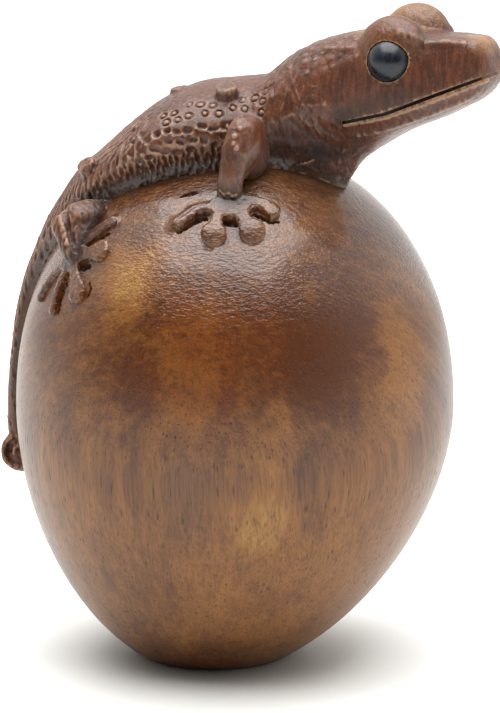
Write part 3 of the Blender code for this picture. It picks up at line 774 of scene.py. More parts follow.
def ring(k, heading, radius, width, depth, crown=0.05):
    """A punched ring, the wood inside it left a little proud."""
    index, u, v = print_of(k, heading, radius + 3 * width)
    reach = np.hypot(u, v * draw.uniform(0.9, 1.2))
    groove = -depth * np.exp(-((reach - radius) / width) ** 2)
    push[index] = np.minimum(push[index], groove) + crown * np.exp(-(reach / radius * 1.4) ** 4)


def scoop(k, heading, long, wide, depth, lip=0.0):
    """A gouge cut, deepest at its lower end, where a lip of wood is left standing."""
    index, u, v = print_of(k, heading, max(long, wide) * 1.5)
    reach = (u / long) ** 2 + (v / wide) ** 2
    hollow = -depth * np.clip(1 - reach, 0, 1) ** 0.8 * np.clip(0.75 + 0.75 * u / long, 0, 2)
    push[index] = np.minimum(push[index], hollow)
    push[index] += lip * np.exp(-((u / long - 1.15) / 0.22) ** 2 - (v / wide / 0.8) ** 2)


def pearl(k, radius, height):
    """A small round lump of wood left standing."""
    index, u, v = print_of(k, np.array([0, 0, 1.0]), radius * 1.6)
    push[index] = np.maximum(push[index], height * np.clip(1 - (u ** 2 + v ** 2) / radius ** 2, 0, 1))


def crest(line, half_width, height, broken=0.0):
    """A ridge, or with a negative height a nick, along a line of points near the skin."""
    line = flow([np.array([point]) for point in line], 12)
    marks = {}
    reach = np.arange(len(line)) * 0.3
    uneven = np.clip(0.5 + 0.5 * ripple(reach, reach * 0, 2.6), 0, 1)
    for point, gap in zip(np.array(line)[:, 0], uneven):
        level = height * (1 - broken * gap)
        centre = Vector(np.mean([spot for spot, _, _ in skin_tree.find_n(point, 7)], 0))
        for _, found, away_from in skin_tree.find_range(centre, half_width * 2.2 * MM):
            value = level * math.exp(-(away_from / MM / half_width) ** 2)
            if abs(value) > abs(marks.get(found, 0)):
                marks[found] = value
    for found, value in marks.items():
        push[found] += value


def knife(size):
    """Hollows with crests between them, as a knife leaves them, from 0 at a crest to 1."""
    lumps = [soft_noise.noise(Vector(point) / (size * MM)) for point in skin]
    return np.clip(np.abs(lumps) * 2.2, 0, 1)


downhill = np.array([0.12, 0.05, -1.0])


def drawn(value):
    """A draw from a range, or a plain value as it is."""
    return draw.uniform(*value) if isinstance(value, tuple) else value


def gouge(mask, spacing, long, wide, depth, sway=0.2, lip=0.0, share=1.0, heading=downhill):
    """Scoops all over a mask. The lip, and the share of the depth, may differ from point to point."""
    lip, share = np.broadcast_to(lip, len(skin)), np.broadcast_to(share, len(skin))
    for k in scatter(mask, spacing):
        tilted = heading + draw.normal(0, sway, 3)
        scoop(k, tilted, drawn(long), drawn(wide), drawn(depth) * share[k], lip[k])


print("a spread at 3 mm would take", len(scatter(on_body, 3.0)), "stamps")

# %% [markdown]
# ## Skin of the back, flank and tail
# The flank behind the arm is punched with rings about 1.3 mm across, and under them are rows of
# deeper scoops whose lips catch the light. Towards the tail the punch gives way to gouge cuts
# that run down the body, and on the tail they are few and long. The top of the back was left
# almost smooth, and no ring is punched beside a wart. A dark hollow runs all along the foot of
# the flank, where the knife undercut the body. It is pushed in after the scoops, so that their
# marks run on down into it.

# %% Punch the back and tail
WART_ROOM = 2.9
UNDERCUT_DEPTH, UNDERCUT_HEIGHT, UNDERCUT_REACH = 0.95, 2.7, 2.1

along, height, side_share = places.along, places.height, np.abs(places.share)
trunk = on_body & (along > -12) & (places.forward < 5)
flank = trunk & (along < 17) & (along > -9)
clear = nearest_gap(skin, [on_back(*wart[:2])[0] for wart in WARTS]) > WART_ROOM
ringed = flank & clear & (along > -8) & (along < 11)
ringed &= (height > 7.2) & (side_share > 0.7) & (side_share < 0.88)
for k in scatter(ringed, 2.1):
    ring(k, downhill, draw.uniform(0.58, 0.76), 0.19, draw.uniform(0.22, 0.42), 0.1)

scooped = flank & (height > 5.4) & (height < 9.0) & (side_share > 0.87)
gouge(scooped, 1.9, (0.7, 1.05), (0.8, 1.25), (0.4, 0.7), lip=0.5)
back = trunk & clear & (along < 17) & (side_share < 0.72)
gouge(back, 1.3, (0.4, 1.1), 0.25, (0.06, 0.2), sway=0.3, heading=np.array([-1.0, 0, 0.1]))
low_flank = on_body & (along < 17) & (along > -20) & (height < 5.2)
share = np.clip((along + 16) / 6, 0, 1)
gouge(low_flank, 1.1, (0.8, 2.0), (0.3, 0.5), (0.2, 0.5), sway=0.12, lip=0.1 * share, share=share)
rump = on_body & (along > 13) & (along < 46) & (height > 1.9)
gouge(rump, 1.3, (0.9, 2.0), (0.34, 0.55), (0.16, 0.42), lip=0.1)
gouge(on_body & (along > 44), 2.1, (1.0, 1.6), (0.4, 0.65), (0.3, 0.6), sway=0.1, lip=0.14)

undercut = np.exp(-((height - UNDERCUT_HEIGHT) / UNDERCUT_REACH) ** 2) * on_body * (side_share > 0.6)
undercut *= np.clip((42 - along) / 8, 0, 1) * np.clip((along + 22) / 9, 0, 1)
push -= UNDERCUT_DEPTH * undercut
print("deepest mark on the trunk", round(push.min(), 2), "mm, highest lip", round(push.max(), 2), "mm")

# %% [markdown]
# ## Nape, face and limbs
# The nape and the cheeks carry long fine chisel strokes over the knife's hollows, which fade out
# towards the face. The face is smooth, with a sharp edge from the brow to the nostril, a thin
# lip under the mouth, and a nicked ridge along the lower jaw. Small pearls cover the back of the
# brow. The arm has four pearls down its front and a ring cut above the foot, and the shin has a
# ridge with a nick beside it.

# %% Cut the nape, face and limbs
forward = places.forward
neck = on_body & (forward > -1) & (forward < 16.5) & (height > 2.5)
fade = np.clip((16.5 - forward) / 5, 0.2, 1)
gouge(neck, 1.5, (0.8, 2.6), (0.35, 0.7), (0.05, 0.2), sway=0.35, lip=0.05, share=fade)
gouge(on_body & (forward > 13), 1.5, (0.5, 1.8), 0.35, (0.02, 0.09))
limbs = shown & ~on_body & (height > 0.2)
gouge(limbs, 1.1, (0.5, 1.4), 0.3, (0.03, 0.1), share=np.where(along > 20, 2.2, 1.0))

KNIFE_SIZE = 3.4
on_neck = np.clip((17 - forward) / 5, 0, 1) * np.clip((forward + 2) / 4, 0, 1) * on_body
push -= (0.03 + 0.16 * on_neck + 0.07 * limbs) * knife(KNIFE_SIZE) * (height > 0.2)

# %% Lips, ridges and pearls
# Places of the face are forward, out to the side and up in the head's directions. Those of the
# limbs are degrees down the back, degrees out to the side, and a height or a size. The points
# round the wrist share one angle to the side.
MOUTH_START, MOUTH_LEVEL, MOUTH_BEND, SNOUT_TIP = (15.2, -0.7), -2.0, 24.0, 43.3
CANTHUS = ((31.5, 8.9, 10.6), (33.2, 8.0, 9.2), (35.7, 6.9, 7.6), (38.5, 6.0, 6.4), (41, 5.0, 5.2))
NOSTRIL = (42.4, 1.6, 3.6)
TEMPLE = ((15.5, 7.0, 13.2), (18.6, 7.7, 12.2), (21.0, 7.9, 11.4))
LEDGE = ((8.6, 11.4, 4.9), (11, 11.2, 4.4), (13.6, 11.0, 3.6))
ARM_PEARLS = ((-6.1, 22.4, 0.6), (-6.2, 24.07, 0.5), (-6.9, 24.8, 0.62), (-6.5, 20.7, 0.55))
PEARL_LIFT, PEARL_HEIGHT = 10.5, 0.35
SHIN = ((35.4, 23.0, 6.5), (36.0, 25.0, 5.4), (36.6, 27.4, 4.2), (37.2, 29.6, 3.0))
WRIST, WRIST_SIDE = ((-8.6, 0.1), (-7.4, -0.2), (-6.2, 0.2), (-5.0, -0.1), (-3.6, 0.3)), 29.3
head_rows = np.array(HEAD)


def head_half_width(forward):
    """The head's half width at a place along it."""
    return np.interp(forward, head_rows[:, 0], head_rows[:, 1])


def mouth_level(forward):
    """The height of the mouth slot: it slopes down at first and then runs level."""
    blend = min(1.0, (forward - MOUTH_START[0]) / (MOUTH_BEND - MOUTH_START[0]))
    return MOUTH_START[1] + (MOUTH_LEVEL - MOUTH_START[1]) * blend


def head_line(hand, line):
    """A line of points on one side of the head, each given forward, out to the side and up."""
    return [on_head(ahead_by, hand * out_by, up_by) for ahead_by, out_by, up_by in line]


def ball_line(hand, line):
    """A line of points over the ball, mirrored for the gecko's left."""
    return [over_ball(*point) * (1, -hand, 1) for point in line]


mouth_run = np.append(np.linspace(MOUTH_START[0], SNOUT_TIP - 3, 16), SNOUT_TIP - np.array([2.1, 1.2, 0.5]))
for hand in (-1, 1):
    crest(head_line(hand, [(f, head_half_width(f), mouth_level(f) - 0.95) for f in mouth_run]), 0.5, 0.5)
    jaw = [(f, head_half_width(f) * 0.82, mouth_level(f) - 3.5) for f in mouth_run[:-3]]
    crest(head_line(hand, jaw), 0.7, 0.42, broken=0.9)
    crest(head_line(hand, CANTHUS), 0.9, 0.6, broken=0.35)
    pearl(skin_tree.find(head_line(hand, [NOSTRIL])[0])[1], 4.0, 0.5)
    crest(head_line(hand, TEMPLE), 0.9, 0.5, broken=0.6)
    brow_back = on_body & (forward > 11) & (forward < 22) & (places.up > 9) & (hand * places.left > 4.5)
    for k in scatter(brow_back, 1.5):
        pearl(k, draw.uniform(0.5, 1.3), draw.uniform(0.08, 0.26))
    crest(head_line(hand, LEDGE), 0.6, 0.3, broken=0.5)
    for down_back, side, size in ARM_PEARLS:
        spot = ball_line(hand, [(down_back, side, PEARL_LIFT)])[0]
        pearl(skin_tree.find(spot)[1], size * 1.1, PEARL_HEIGHT)
    for shift, depth in ((0.0, 0.4), (-1.5, -0.4)):
        crest(ball_line(hand, [(spot[0] + shift, *spot[1:]) for spot in SHIN]), 0.5, depth, broken=0.3)
    for level, depth in ((3.0, 0.25), (2.0, -0.4)):
        wrist = [(down_back, WRIST_SIDE, level + lift) for down_back, lift in WRIST]
        crest(ball_line(hand, wrist), 0.28, depth, broken=0.6)
write_points(gecko.data, skin + normals * push[:, None] * MM)
print("marks from", round(push.min(), 2), "to", round(push.max(), 2), "mm")

# %% [markdown]
# ## Joining the ball, cutting the mouth
# The ball joins the gecko and its toes in Boolean unions, and the mouth, the pits between the
# toes and the eye sockets are cut out. The carving then is one closed piece, as the block was.
# A decimate pass at the end spends the triangles where the tool marks are and saves them on the
# plain ball.

# %% One carving
BALL_SIDES, BALL_RINGS = 180, 120
MOUTH_HEIGHT, MOUTH_DEPTH, MOUTH_OVERCUT = 0.85, 1.6, 2.0
EYE_DIAMETER, EYE_GAP, EYE_PLACE = 8.0, 0.15, (27.5, 8.3, 6.7)
TRIANGLES = 192000

foot_turn = -math.asin(WAIST_HEIGHT / TAPER_DEPTH)
profile = []
for turn in np.linspace(math.pi / 2 - 0.01, foot_turn, BALL_RINGS):
    rise = math.sin(turn)
    power, depth = (CROWN_POWER, CROWN_RISE) if rise >= 0 else (TAPER_POWER, TAPER_DEPTH)
    profile.append((BALL_RADIUS * (1 - abs(rise) ** power) ** (1 / power), WAIST_HEIGHT + depth * rise))
profile[-1] = (profile[-1][0], 0.0)
profile.append((profile[-1][0] * 0.97, 0.0))
around = np.arange(BALL_SIDES) * math.tau / BALL_SIDES
ball_rings = [np.stack([radius * np.cos(around) + lean_at(height), radius * np.sin(around),
                        np.full(BALL_SIDES, height)], 1) for radius, height in profile]
carving = solid("gecko_carving", *loft(ball_rings))


def mouth_cut():
    """A thin band that follows the head's outline round the snout."""
    rim = [np.array([f, -head_half_width(f)]) for f in mouth_run]
    rim += [np.array([SNOUT_TIP, 0.0])] + [spot * (1, -1) for spot in rim[::-1]]
    sections = []
    for k, spot in enumerate(rim):
        run = unit(rim[min(k + 1, len(rim) - 1)] - rim[max(k - 1, 0)])
        outward = np.array([run[1], -run[0]])
        depth = MOUTH_DEPTH * np.interp(spot[0], (36, 41), (1, 0.4))
        inner, outer = spot - outward * depth, spot + outward * MOUTH_OVERCUT
        half, level = MOUTH_HEIGHT / 2, mouth_level(spot[0])
        corners = ((inner, -half * 0.6), (outer, -half), (outer, half), (inner, half * 0.6))
        sections.append(np.array([on_head(*place, level + lift) for place, lift in corners]))
    return loft(sections)


def combine(target, tool, operation):
    """Joins a solid to the target or cuts it out, and removes the solid."""
    step = target.modifiers.new(operation.lower(), 'BOOLEAN')
    step.operation, step.solver, step.object = operation, 'MANIFOLD', tool
    bake(target)
    bpy.data.objects.remove(tool)


socket_radius = EYE_DIAMETER / 2 + EYE_GAP
eye_centres = [head_line(hand, [EYE_PLACE])[0] for hand in (-1, 1)]
sockets = [ball_at(centre, (socket_radius,) * 3, head_axes, 40, 64) for centre in eye_centres]
combine(carving, gecko, 'UNION')
for toe_field in toes:
    combine(carving, solid("toes", *toe_field), 'UNION')
for cutter in [mouth_cut(), *sockets, *pits]:
    combine(carving, solid("cutter", *cutter), 'DIFFERENCE')
carving.data.name = "gecko_carving"
print("carving:", len(carving.data.polygons), "faces before thinning")

# %% [markdown]
# ## Where stain gathers, where shade is painted, and where hands polish
# Dark stain settled in every cut, and handling rubbed it off the high places. The finish also
# paints shade into the folds between the forms and along the seam, and a pale sheen onto the
# ridges. All of these follow the form, so they are measured on it: a point that lies below the
# average of its neighbours is in a hollow. Two scales are kept, one for tool marks and one for
# folds between the forms, with the height over the ball and the nearness of the gecko, for the
# painted shade along the seam where the body meets the ball. They are stored on the mesh as
# attributes for the finish to read.

# %% Measure hollows and seams
MARK_ROUNDS, FOLD_ROUNDS = 4, 40
GECKO_HEIGHT, SEAM_REACH, SEAM_FLOOR = 2.0, 9.0, 20.0


def hollow_of(points, normals, edges, rounds):
    """Millimetres that each point lies under the average of its surroundings."""
    smooth = relax(points, edges, rounds, 1.0)
    return ((smooth - points) * normals).sum(1) / MM


fine, fine_normals = read(carving.data, "co"), read(carving.data, "normal")
fine_edges = read_edges(carving.data)
marks = hollow_of(fine, fine_normals, fine_edges, MARK_ROUNDS)
folds = hollow_of(fine, fine_normals, fine_edges, FOLD_ROUNDS)
over = height_over_ball(fine)
seam = np.where(over > GECKO_HEIGHT, 0, SEAM_REACH)
near = (over <= GECKO_HEIGHT) & (fine[:, 2] > SEAM_FLOOR * MM)
seam[near] = np.minimum(nearest_gap(fine[near], fine[over > GECKO_HEIGHT][::2]), SEAM_REACH)
looks = {"marks": marks, "folds": folds, "over": over, "seam": seam}
print({name: (round(values.min(), 2), round(values.max(), 2)) for name, values in looks.items()})

# %% Thin the mesh and carry the measures over
EDGE_ANGLE = math.radians(52)

carving.data.calc_loop_triangles()
thin = carving.modifiers.new("thin", 'DECIMATE')
thin.ratio = min(1.0, TRIANGLES / len(carving.data.loop_triangles))
bake(carving)
fine_tree = tree_of(fine, range(len(fine)))
source = np.array([fine_tree.find(point)[1] for point in read(carving.data, "co")])
for name, values in looks.items():
    layer = carving.data.attributes.new(name, 'FLOAT', 'POINT')
    layer.data.foreach_set("value", values[source].astype(np.float32))
carving.data.shade_smooth()
carving.data.set_sharp_from_angle(angle=EDGE_ANGLE)
carving.data.calc_loop_triangles()
print("carving:", len(carving.data.loop_triangles), "triangles")

# %% [markdown]
# ## Nodes written as sums
# A finish is a small formula of places and noises. Written as plain sums it stays readable, so
# a shader socket is wrapped in a class whose operators add Math nodes, or Vector Math nodes
# where the socket is a vector. One method adds any other node, and it serves the materials and
# the surroundings alike.

# %% A socket that can be added and multiplied
class Wire:
    """One output socket of a node."""

    def __init__(self, nodes, socket):
        self.nodes, self.socket = nodes, socket

    def sum_with(self, operation, first, second):
        vector = any(isinstance(v, Wire) and v.socket.type in ('VECTOR', 'RGBA') for v in (first, second))
        kind = "ShaderNodeVectorMath" if vector else "ShaderNodeMath"
        return self.nodes.node(kind, {"operation": operation}, {0: first, 1: second})

    def __add__(self, other):
        return self.sum_with('ADD', self, other)

    def __radd__(self, other):
        return self.sum_with('ADD', other, self)

    def __sub__(self, other):
        return self.sum_with('SUBTRACT', self, other)

    def __rsub__(self, other):
        return self.sum_with('SUBTRACT', other, self)

    def __mul__(self, other):
        return self.sum_with('MULTIPLY', self, other)

    def __rmul__(self, other):
        return self.sum_with('MULTIPLY', other, self)

    def __pow__(self, other):
        return self.sum_with('POWER', self, other)

    def between(self, low, high):
        """0 below low, 1 above high, and a soft step from one to the other."""
        inputs = {"Value": self, "From Min": low, "From Max": high}
        return self.nodes.node("ShaderNodeMapRange", {"interpolation_type": 'SMOOTHSTEP'}, inputs)

    def most(self, other):
        return self.sum_with('MAXIMUM', self, other)


class Nodes:
    """A tree of nodes, joined by wires."""

    def __init__(self, tree):
        self.tree = tree

    def feed(self, socket, value):
        """Sets a socket to a value, or links a wire to it."""
        if isinstance(value, Wire):
            self.tree.links.new(value.socket, socket)
        else:
            socket.default_value = value

    def node(self, kind, settings=None, inputs=None, output=0):
        """Any node: its settings first, then the values or wires of its sockets."""
        made = self.tree.nodes.new(kind)
        for name, value in (settings or {}).items():
            setattr(made, name, value)
        for name, value in (inputs or {}).items():
            self.feed(made.inputs[name], value)
        return Wire(self, made.outputs[output])

    def mix(self, share, first, second, blend='MIX'):
        """A colour between two others."""
        settings = {"data_type": 'RGBA', "blend_type": blend}
        return self.node("ShaderNodeMix", settings, {0: share, 6: first, 7: second}, 2)

    def parts(self, vector):
        """The three components of a vector."""
        split = self.node("ShaderNodeSeparateXYZ", {}, {0: vector})
        return [Wire(self, socket) for socket in split.socket.node.outputs]

    def vector(self, x, y, z):
        return self.node("ShaderNodeCombineXYZ", {}, {0: x, 1: y, 2: z})

    def length(self, vector):
        return self.node("ShaderNodeVectorMath", {"operation": 'LENGTH'}, {0: vector}, output=1)

    def here(self):
        """The place on the piece, in metres."""
        return self.node("ShaderNodeTexCoord", output=3)


class Finish(Nodes):
    """A material, built from wires into its Principled shader."""

    def __init__(self, name, **plain):
        self.material = bpy.data.materials.new(name)
        self.material.use_nodes = True
        super().__init__(self.material.node_tree)
        self.set(**plain)

    def set(self, **values):
        for name, value in values.items():
            self.feed(self.tree.nodes["Principled BSDF"].inputs[name.replace("_", " ")], value)

    def measured(self, name):
        """A measure stored on the mesh."""
        return self.node("ShaderNodeAttribute", {"attribute_name": name}, output=2)


def paint(red, green, blue):
    """A colour from screen values of 0 to 255."""
    return (*(((v / 255 + 0.055) / 1.055) ** 2.4 if v > 10 else v / 3294.6 for v in (red, green, blue)), 1)


print("mid brown is", [round(v, 3) for v in paint(128, 80, 48)[:3]])

# %% [markdown]
# ## The wood
# It is a mid-brown tropical hardwood with open pores, such as suar. Its vessels run up the
# block, so they show as short dark dashes where the surface runs with them and as dots where it
# cuts across them. The grain is therefore made in three dimensions, in coordinates squeezed
# along the fibres: the block is coloured through, and the carving only uncovers it. In the
# upper part of the ball the fibres lean towards the front, which turns the dashes to dots there.

# %% Fibres, pores and figure
wood = Finish("varnished_wood", Metallic=0.0, IOR=1.45, Coat_Roughness=0.16, Coat_IOR=1.5)
place = wood.here() * (1000.0, 1000.0, 1000.0)


def noise(vector, size, detail=2.0, roughness=0.5, output=0):
    """Soft noise whose lumps are about this many millimetres across."""
    inputs = {"Vector": vector, "Scale": 1 / size, "Detail": detail, "Roughness": roughness}
    return wood.node("ShaderNodeTexNoise", {}, inputs, output)


ragged = place + (noise(place, 9.0, 3.0, 0.6, 1) - (0.5, 0.5, 0.5)) * (9.0, 9.0, 9.0)


def spot(x, y, z, size, tall=1.0):
    """1 at a place of the block, fading out raggedly over a size; tall stretches it upward."""
    gap = wood.length((ragged - (x, y, z)) * (1.0, 1.0, 1 / tall))
    return 1 - gap.between(size * 0.2, size * 1.1)


def spots(rows):
    """The strongest of several spots; each row is a share and then the spot's own measures."""
    made = [spot(*row[1:]) * row[0] for row in rows]
    total = made[0]
    for other in made[1:]:
        total = total.most(other)
    return total


def head_spots(rows):
    """Spots of the head; each row is a share, millimetres forward, left and up, and a size."""
    return spots([(share, *(on_head(*direction) / MM), size) for share, *direction, size in rows])


x, y, z = wood.parts(place)
rise = z - 50.0
lean = 0.6 * (rise + (rise * rise + 60.0) ** 0.5)
wander = noise(place * (1.0, 1.0, 0.25), 22.0, 1.0)
fibre_x, fibre_y = x + 5.0 * wander, y + lean
fibres = wood.vector(fibre_x, fibre_y, z * 0.15)

cells = {"feature": 'F1', "voronoi_dimensions": '3D'}
pore_gap = wood.node("ShaderNodeTexVoronoi", cells, {"Vector": fibres, "Scale": 1.0, "Randomness": 1.0})
pore_size = noise(place, 4.0, 1.0) * 0.22
pores = 1 - (pore_gap - pore_size).between(0.0, 0.13)
short = wood.vector(fibre_x, fibre_y, z * 0.3)
small_gap = wood.node("ShaderNodeTexVoronoi", cells, {"Vector": short, "Scale": 1.9, "Randomness": 1.0})
specks = 1 - small_gap.between(0.12, 0.3)
streaks = noise(wood.vector(fibre_x, fibre_y, z * 0.05), 1.7, 3.0, 0.6)
fine_grain = noise(wood.vector(fibre_x, fibre_y, z * 0.05), 0.42, 2.0, 0.6)
rings = noise(wood.vector(fibre_x, fibre_y, z * 0.12), 6.0, 2.0, 0.5)
clouds = noise(place * (1.0, 1.0, 0.6), 22.0, 2.0, 0.5)

# %% [markdown]
# ## Colour
# Three browns make the figure: chocolate, a warm mid brown and gold. Wide clouds choose between
# them, fine streaks vary them along the fibres, and a few places are this block's own: a golden
# patch beside the hind foot and another low in front, an amber field under the front foot, a
# dark one beside it, and smoky smudges. The ball is painted darker from about 34 mm up and
# lighter below, a painted reflection of the dark room and the white table, and a flat band of
# painted shade darkens the front of its foot by the table. The gecko is a shade redder and
# duller, because its rough surface took up more stain. Its fibres stand upright, the side of the
# head glows warmer, and the far brow, the top of the near brow and the tip of the snout are
# painted pale as a highlight. Stain lies black in the cuts; painted shade lies black in the folds
# between the forms, in the seam along the body, on the throat and over the mouth. The ridges are
# painted pale, partly rubbed bare of stain and partly a painted sheen.

# %% Colour of the wood
chocolate, warm_brown, gold = paint(80, 40, 14), paint(131, 83, 33), paint(160, 118, 54)
amber, smoke, black_stain_and_shade = paint(122, 60, 10), paint(70, 48, 38), paint(34, 17, 13)
umber, russet, bare_edge_and_sheen = paint(62, 30, 16), paint(106, 56, 27), paint(184, 144, 112)
warm_skin, highlight_skin, pore_tint = paint(108, 60, 26), paint(158, 116, 76), paint(120, 92, 84)

over, seam = wood.measured("over"), wood.measured("seam")
marks, folds = wood.measured("marks"), wood.measured("folds")
on_gecko = over.between(1.5, 2.4)
tail = x.between(-22, -30) * on_gecko

# Each spot is its share, its place in millimetres, its size, and how much taller than wide it is.
golden = spots(((0.62, -6.8, -32.5, 78, 9), (0.5, 18.8, -35.9, 34, 8, 1.5), (0.35, 21, -37.6, 49, 5, 3.0),
                (0.35, 40, -18, 60, 8, 2.0)))
ambers = spots(((0.75, 7, -38.5, 66, 13, 1.4), (0.4, 17, -36, 68, 8, 1.5)))
# The fifth dark spot, wide and flat on the front of the ball's foot, is painted shade by the table; the
# others are dark patches in the wood.
dark_patches_and_shade = spots(((0.6, 26.8, -29, 68, 15, 1.3), (0.9, 12.5, -38.8, 63, 3.0, 3.5),
               (0.8, -3.8, -39.7, 60.7, 6, 1.4), (0.5, 29.6, -31.8, 58.4, 2.5), (0.5, 5, -20, 3, 22, 0.4),
               (0.7, -2, -36, 72, 5)))
smokes = spots(((0.6, 5, -40.3, 41, 8, 1.7), (0.6, -20.5, -31.9, 61.8, 6), (0.7, -6.1, -26, 86.6, 4.5),
                (0.3, 26, -33, 46, 7, 1.6), (0.4, -17, -26, 80, 5)))
# The last term is painted reflection: the ball turns darker from about 34 mm up, where it mirrors the dark
# room, and stays lighter below, where it mirrors the white table.
figure = clouds * 0.37 + rings * 0.33 + streaks * 0.42 + golden * 0.5 - dark_patches_and_shade * 0.22 - z.between(34, 58) * 0.1
brown = wood.mix(figure.between(0.32, 0.7), chocolate, warm_brown)
brown = wood.mix(figure.between(0.66, 0.98), brown, gold)
brown = wood.mix(ambers * streaks.between(0.25, 0.7), brown, amber)
brown = wood.mix(smokes * 0.6, brown, smoke)
upright = noise(wood.vector(x, y, z * 0.12), 0.9, 3.0, 0.6)
skin_tone = wood.mix((clouds * 0.3 + upright * 0.65 + rings * 0.15).between(0.4, 0.68), umber, russet)
warmth = head_spots(((0.7, 28, -9, 11, 9), (0.8, 27, 7, 13, 9), (0.5, 42, -1, 4, 6), (0.3, 20, -9, -1, 6)))
skin_tone = wood.mix(warmth, skin_tone, warm_skin)
# Painted highlight: the far brow, the top of the near brow and the snout tip are painted pale where the
# overhead light falls on them.
painted_highlight = head_spots(((0.8, 27, 6, 13, 10), (0.7, 26, -4, 16, 5), (0.7, 43, 0, 5, 5)))
skin_tone = wood.mix(painted_highlight, skin_tone, highlight_skin)
colour = wood.mix(on_gecko, brown, skin_tone)
ink = pores * (0.48 - on_gecko * 0.25) + specks * 0.25 + (1 - fine_grain.between(0.36, 0.58)) * 0.36
colour = wood.mix(ink, colour, wood.mix(1.0, colour, pore_tint, 'MULTIPLY'))
# Painted shade: black spots in the fold over the mouth and on the throat under the head.
painted_mouth_shade = [(share, f, -head_half_width(f), mouth_level(f) + 1, 4)
              for share, f in ((0.6, 16), (0.6, 20), (0.5, 24), (0.4, 28))]
painted_throat_shade = head_spots([(0.8, 2, -11, -2, 8), (1.0, 7, -10, -6, 9), (1.0, 12, -9, -9, 9), (1.0, 4, -8, -12, 11),
                     *painted_mouth_shade])
# Stain in the tool cuts (marks), and painted shade in the folds between the forms (folds).
hollows = (folds.between(0.15, 1.4) * 0.7).most(marks.between(0.015, 0.14) * 0.8)
stain_and_shade = hollows * on_gecko.most(over.between(-0.1, -0.6))
# Painted shade: black on the ball beside the gecko, and on the gecko's low sides next to the ball, but not on
# the tail.
painted_contact_shade = (1 - seam.between(0.2, 3.4)) * (1 - on_gecko) * 0.85
painted_contact_shade = painted_contact_shade + (1 - over.between(1.8, 4.8)) * (on_gecko - tail) * 0.7
colour = wood.mix(stain_and_shade.most(painted_contact_shade).most(painted_throat_shade * on_gecko), colour, black_stain_and_shade)
# Rubbed wear and painted sheen: the ridges are painted pale.
worn_and_sheen = (0 - marks).between(0.015, 0.12) * on_gecko
colour = wood.mix(worn_and_sheen * 0.5, colour, bare_edge_and_sheen)

# %% [markdown]
# ## Varnish
# A thin semi-gloss varnish lies over everything. It has sunk into the pores and the chisel
# marks, and on the shoulder of the ball it wrinkled as it dried, so the highlight there breaks
# into a glitter of short waves. The gecko's own coat is thin, and the cuts and the throat are
# duller than the high places. The relief under 0.3 mm, which the mesh is too coarse to carry, is
# a bump made from the same pores and streaks as the colour.

# %% Roughness and fine relief
peel = noise(place, 0.9, 2.0, 0.6)
waves = noise(wood.vector(x * 0.6, y, z * 1.15), 0.7, 2.0, 0.6)
shoulder = z.between(66, 80) * (1 - on_gecko)
fuzz = noise(wood.vector(x, y, z * 0.35), 0.5, 3.0, 0.6)
relief = 0 - pores * 0.03 - specks * 0.015 + streaks * 0.04 + peel * (0.035 + shoulder * 0.05)
relief = relief + waves * shoulder * 0.45 + fuzz * on_gecko * 0.2 + fine_grain * 0.02
bump = wood.node("ShaderNodeBump", {}, {"Strength": 1.0, "Distance": 0.001, "Height": relief})
roughness = 0.29 + peel * 0.1 + pores * 0.15 - shoulder * 0.13 + on_gecko * 0.08 + (stain_and_shade + tail) * 0.15
roughness = roughness + painted_contact_shade * 0.35 + painted_throat_shade * 0.3
wood.set(Base_Color=colour, Roughness=roughness, Normal=bump)
wood.set(Coat_Weight=0.06 + shoulder * 0.5 + (on_gecko - painted_throat_shade * on_gecko) * 0.14)
carving.data.materials.clear()
carving.data.materials.append(wood.material)
print("wood finish:", len(wood.tree.nodes), "nodes")

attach(carving, "root")
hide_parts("carving")

# %% [markdown]
# ## The eyes
# The eyes are bought beads of blue-black glass or plastic, pressed into drilled sockets. The
# measured solids are right in size but faceted, so each is replaced by a finer one of the same
# diameter. Years of dust leave a faint haze that dulls parts of the gloss.

# %% Bead eyes
bead = Finish("black_bead", Metallic=0.0, IOR=1.47)
haze = bead.node("ShaderNodeTexNoise", {}, {"Vector": bead.here(), "Scale": 700.0, "Detail": 3.0})
bead.set(Base_Color=bead.mix(haze.between(0.4, 0.7), paint(12, 15, 21), paint(24, 30, 40)))
bead.set(Roughness=0.27 + haze.between(0.45, 0.75) * 0.14)
for name in ("right_eye", "left_eye"):
    low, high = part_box(name)
    shape = bmesh.new()
    bmesh.ops.create_icosphere(shape, subdivisions=5, radius=(high.z - low.z) / 2,
                               matrix=Matrix.Translation((low + high) / 2))
    eye = show(f"bead_{name}", shape)
    eye.data.shade_smooth()
    eye.data.materials.append(bead.material)
    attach(eye, "root")
    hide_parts(name)
    print(name, "bead of", round((high.z - low.z) / MM, 2), "mm")

# %% [markdown]
# ## Studio
# The figurine stands on a white table under one wide square light, above it and a little to
# the front. The surroundings are white at the back and the sides, which gives the varnish its
# pale rims, and dark behind the camera, so the front of the ball keeps its colour down to the
# line where the white table starts to mirror in it. Just under the ball the table carries a
# painted shadow, a greyer colour, and a little further out it glows, so that it fades to white
# paper as in the photograph.

# %% Table
TABLE_SIZE, TABLE_DROP = 1.5, 0.0002

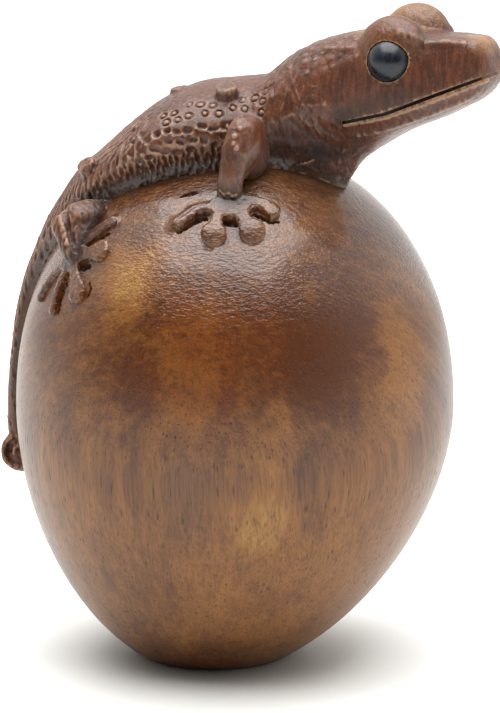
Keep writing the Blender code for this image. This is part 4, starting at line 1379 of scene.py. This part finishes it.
shape = bmesh.new()
bmesh.ops.create_grid(shape, x_segments=1, y_segments=1, size=TABLE_SIZE)
floor = show("floor", shape)
floor.location.z = -TABLE_DROP
table = Finish("white_table", Roughness=0.6, Emission_Strength=1.0)
reach = table.length(table.here())
# Painted shadow: the table's colour turns grey within a few centimetres of the ball.
table.set(Base_Color=table.mix(reach.between(0.012, 0.035), (0.68, 0.69, 0.67, 1), (0.87, 0.89, 0.87, 1)))
table.set(Emission_Color=table.mix(reach.between(0.04, 0.5), (0.0, 0.0, 0.0, 1), (0.45, 0.45, 0.44, 1)))
floor.data.materials.append(table.material)
print("table nodes:", len(table.tree.nodes))

# %% Light
LIGHT_PLACE, LIGHT_TILT, LIGHT_SIZE, LIGHT_POWER = (0.0, -0.1, 0.85), math.radians(-7), 0.95, 14.0

light = bpy.data.lights.new("overhead", 'AREA')
light.shape, light.size, light.energy = 'SQUARE', LIGHT_SIZE, LIGHT_POWER
lamp = bpy.data.objects.new("overhead", light)
lamp.location, lamp.rotation_euler = LIGHT_PLACE, (LIGHT_TILT, 0, 0)
bpy.context.scene.collection.objects.link(lamp)
print("light of", light.energy, "W,", round(light.size, 2), "m wide")

# %% Surroundings
BRIGHT, DIM = 1.12, 0.07

world = bpy.data.worlds.new("surroundings")
world.use_nodes = True
bpy.context.scene.world = world
sky = Nodes(world.node_tree)
_, sky_y, sky_z = sky.parts(sky.node("ShaderNodeTexCoord"))
dark = sky_y.between(0.1, -0.65) * sky_z.between(0.95, 0.6)
strength = sky.node("ShaderNodeMapRange", {}, {"Value": dark, "To Min": BRIGHT, "To Max": DIM})
sky.tree.nodes.remove(sky.tree.nodes["Background"])
room = sky.node("ShaderNodeBackground", {}, {"Color": (1.0, 0.995, 0.98, 1), "Strength": strength})
paper = sky.node("ShaderNodeBackground", {}, {"Color": (1, 1, 1, 1)})
seen = sky.node("ShaderNodeLightPath")
backdrop = sky.node("ShaderNodeMixShader", {}, {0: seen, 1: room, 2: paper})
sky.feed(sky.tree.nodes["World Output"].inputs["Surface"], backdrop)
bpy.context.scene.view_settings.view_transform = 'Standard'
print("surroundings:", len(sky.tree.nodes), "nodes")
